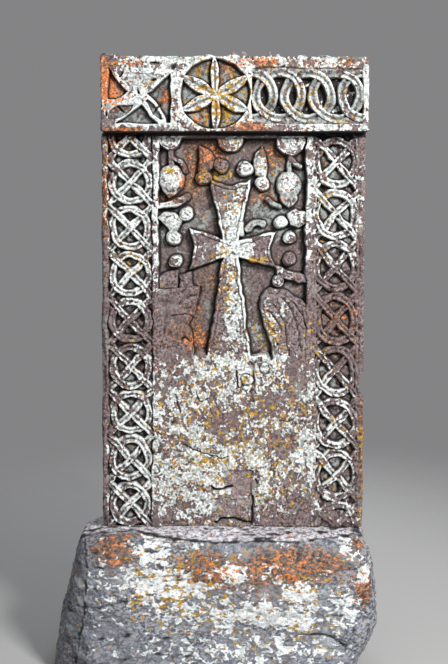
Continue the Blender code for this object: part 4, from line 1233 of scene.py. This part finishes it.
arch = base_z - arch_top + arch_curve * arch_x**2 + 0.006 * lattice_noise(base_points, 0.03, 111)
arch_crack = 0.006 * ridge(arch, split_width) * inside(np.abs(arch_x - 0.01) - 0.095, 0.02)
bedding += arch_crack * (base_y < 0)
upright = 1 - np.clip(facing[:, 2], 0, 1)
push = (lumps + chipped) * (0.45 + 0.55 * upright) - bedding * upright
base_points += facing * push[:, None]

# The seat is level and just below the slab's foot, and the underside is flat on the ground.
under_slab = inside(np.maximum(np.abs(local[:, 0]) - slab_width / 2 - 0.004, 0), 0.010)
under_slab *= inside(np.maximum(-local[:, 1], local[:, 1] - slab_thickness) - 0.004, 0.010)
seat_level, seat_reach, ground_reach = slab_foot - 0.0008, 0.03, 0.012
seated = under_slab * (base_z > slab_foot - seat_reach) * (facing[:, 2] > 0.3)
base_points[:, 2] += seated * (seat_level - base_z)
on_ground = block_points[:, 2] < ground_reach
base_points[:, 2] = np.where(on_ground, 0.0, np.maximum(base_z, 0.0))
base_points[:, :2] = np.clip(base_points[:, :2], base_low[:2] - bulge_limit, base_high[:2] + bulge_limit)
base_mesh.vertices.foreach_set("co", base_points.astype(np.float32).ravel())
base_mesh.shade_smooth()
base_mesh.update()

base_across = base_x - camera.location[0]
front_side = facing[:, 1] < -0.2
base_hollow = np.clip(bedding / 0.006 - chipped / 0.009 - 0.1, -1, 1)
base_pale_patches = (
    (-0.254, 0.427, 0.07, 0.042, 0.54), (-0.237, 0.329, 0.165, 0.062, 0.54),
    (-0.005, 0.365, 0.05, 0.028, 0.56), (0.113, 0.365, 0.04, 0.025, 0.36),
    (0.2, 0.303, 0.058, 0.036, 0.56), (0.092, 0.238, 0.07, 0.04, 0.8), (0.2, 0.213, 0.066, 0.046, 0.68),
    (-0.029, 0.219, 0.07, 0.055, 0.44), (0.346, 0.244, 0.048, 0.066, 0.58),
    (0.408, 0.355, 0.026, 0.024, 0.7), (0.355, 0.43, 0.035, 0.028, 0.46),
    (-0.178, 0.219, 0.09, 0.05, 0.34), (0.018, 0.12, 0.32, 0.05, 0.34),
    (-0.411, 0.377, 0.025, 0.035, 0.42), (-0.125, 0.445, 0.05, 0.016, 0.36),
    (-0.4, 0.19, 0.06, 0.09, 0.14), (0.0, 0.29, 0.3, 0.05, 0.16),
)
base_orange_patches = (
    (-0.38, 0.427, 0.08, 0.05, 0.29), (-0.085, 0.38, 0.085, 0.06, 0.27),
    (0.22, 0.393, 0.17, 0.055, 0.27), (0.2, 0.37, 0.26, 0.075, 0.11), (-0.2, 0.4, 0.3, 0.06, 0.08),
    (0.4, 0.442, 0.03, 0.03, 0.36), (0.41, 0.3, 0.03, 0.06, 0.3), (0.0, 0.3, 0.45, 0.08, 0.11),
    (-0.05, 0.465, 0.45, 0.01, 0.2),
)
base_ochre_patches = (
    (0.0, 0.3, 0.45, 0.16, 0.2), (0.15, 0.15, 0.25, 0.1, 0.1), (-0.2, 0.26, 0.16, 0.08, 0.14),
    (-0.25, 0.4, 0.12, 0.05, 0.14),
)
drift = lattice_noise(base_points, 0.15, 121)

# The front lip of the base's top and its left corner, drawn as they are seen from the eye: in
# metres on the plane of the slab's face, from the middle and the foot of the slab.
away = camera_distance / (base_y - camera.location[1])
seen_across = (base_x - camera.location[0]) * away
seen_up = camera.location[2] + (base_z - camera.location[2]) * away - slab_foot
lip_curve = (
    (-0.560, -0.050), (-0.444, -0.020), (-0.317, -0.010), (-0.213, -0.036), (-0.054, -0.051),
    (0.096, -0.046), (0.223, -0.051), (0.392, -0.024), (0.480, -0.040),
)
corner_curve = ((-0.510, -0.442), (-0.481, -0.276), (-0.473, -0.130), (-0.481, -0.039))
lip_across, lip_up = np.array(lip_curve).T
corner_across, corner_up = np.array(corner_curve).T
above_lip = seen_up - np.interp(seen_across, lip_across, lip_up)
above_lip += 0.004 * lattice_noise(base_points, 0.02, 131)
past_corner = np.interp(seen_up, corner_up, corner_across) - seen_across
past_corner += 0.005 * lattice_noise(base_points, 0.03, 135)
lowest_top = 0.38
on_top = base_z > lowest_top
left_end = np.clip(past_corner / 0.008, 0, 1) * (seen_up < -0.02)
ledge = np.clip(above_lip / 0.006, 0, 1) * on_top * (facing[:, 2] > 0.05)
base_pale = np.clip(oval_patches(base_across, base_z, base_pale_patches), 0, 0.7) + 0.14
base_orange = oval_patches(base_across, base_z, base_orange_patches)
base_ochre = oval_patches(base_across, base_z, base_ochre_patches)
side_pale = np.where(facing[:, 2] > 0.5, 0.24, np.where(facing[:, 0] < -0.6, 0.16, 0.27))
base_pale = np.where(front_side, base_pale, side_pale) + 0.06 * drift - 0.25 * left_end
paint(base_mesh, "growth", (
    base_pale - 0.10 * np.clip(base_hollow, 0, 1),
    np.where(front_side, base_orange, 0.14) - 0.06 * drift - 0.12 * ledge,
    np.where(front_side, base_ochre, 0.14) + 0.06 * drift - 0.08 * ledge,
))
# Painted shade: dark lines where the slab stands on the seat, along the lip of the top and along the left
# front corner, together with the ledge's real dark streaks.
seat_shade_line = ridge(np.maximum(-local[:, 1], 0), 0.010) * ledge * (local[:, 1] < 0.01)
streaks = lattice_noise(base_points * (0.10, 1, 0.3), 0.012, 125)
streaks += 0.5 * lattice_noise(base_points, 0.014, 127)
lip = ridge(above_lip, 0.0050) * on_top
shade_and_streak_lines = 0.30 * seat_shade_line + 0.50 * ledge * np.clip(streaks - 0.1, 0, 1) + 0.36 * lip
# Painted shade: faces turned to the left, and the left end, are darkened towards the recess colour.
shaded_side = np.maximum(np.clip((-facing[:, 0] - 0.50) / 0.12, 0, 1), left_end)
shade_and_streak_lines += 0.02 * left_end + 0.30 * ridge(past_corner, 0.0045) * (base_y < 0)
# Painted shade: the splits along the bedding are darkened through the crevice channel.
paint(base_mesh, "form", (0.5 + 0.5 * base_hollow + shade_and_streak_lines, shaded_side, 0.9 * ledge))
grey_stone = lichened_stone(
    "grey_basalt",
    ((0.066, 0.072, 0.084), (0.375, 0.395, 0.445), (0.215, 0.228, 0.262), (0.050, 0.047, 0.048),
     (0.20, 0.185, 0.205), (0.76, 0.73, 0.79)),
    ((0.52, 0.56, 0.56), (0.89, 0.92, 0.93), (0.20, 0.21, 0.20), (0.34, 0.36, 0.35)), (0.70, 0.70, 1.05),
)
add_piece("base", base_mesh, "base_block", grey_stone)
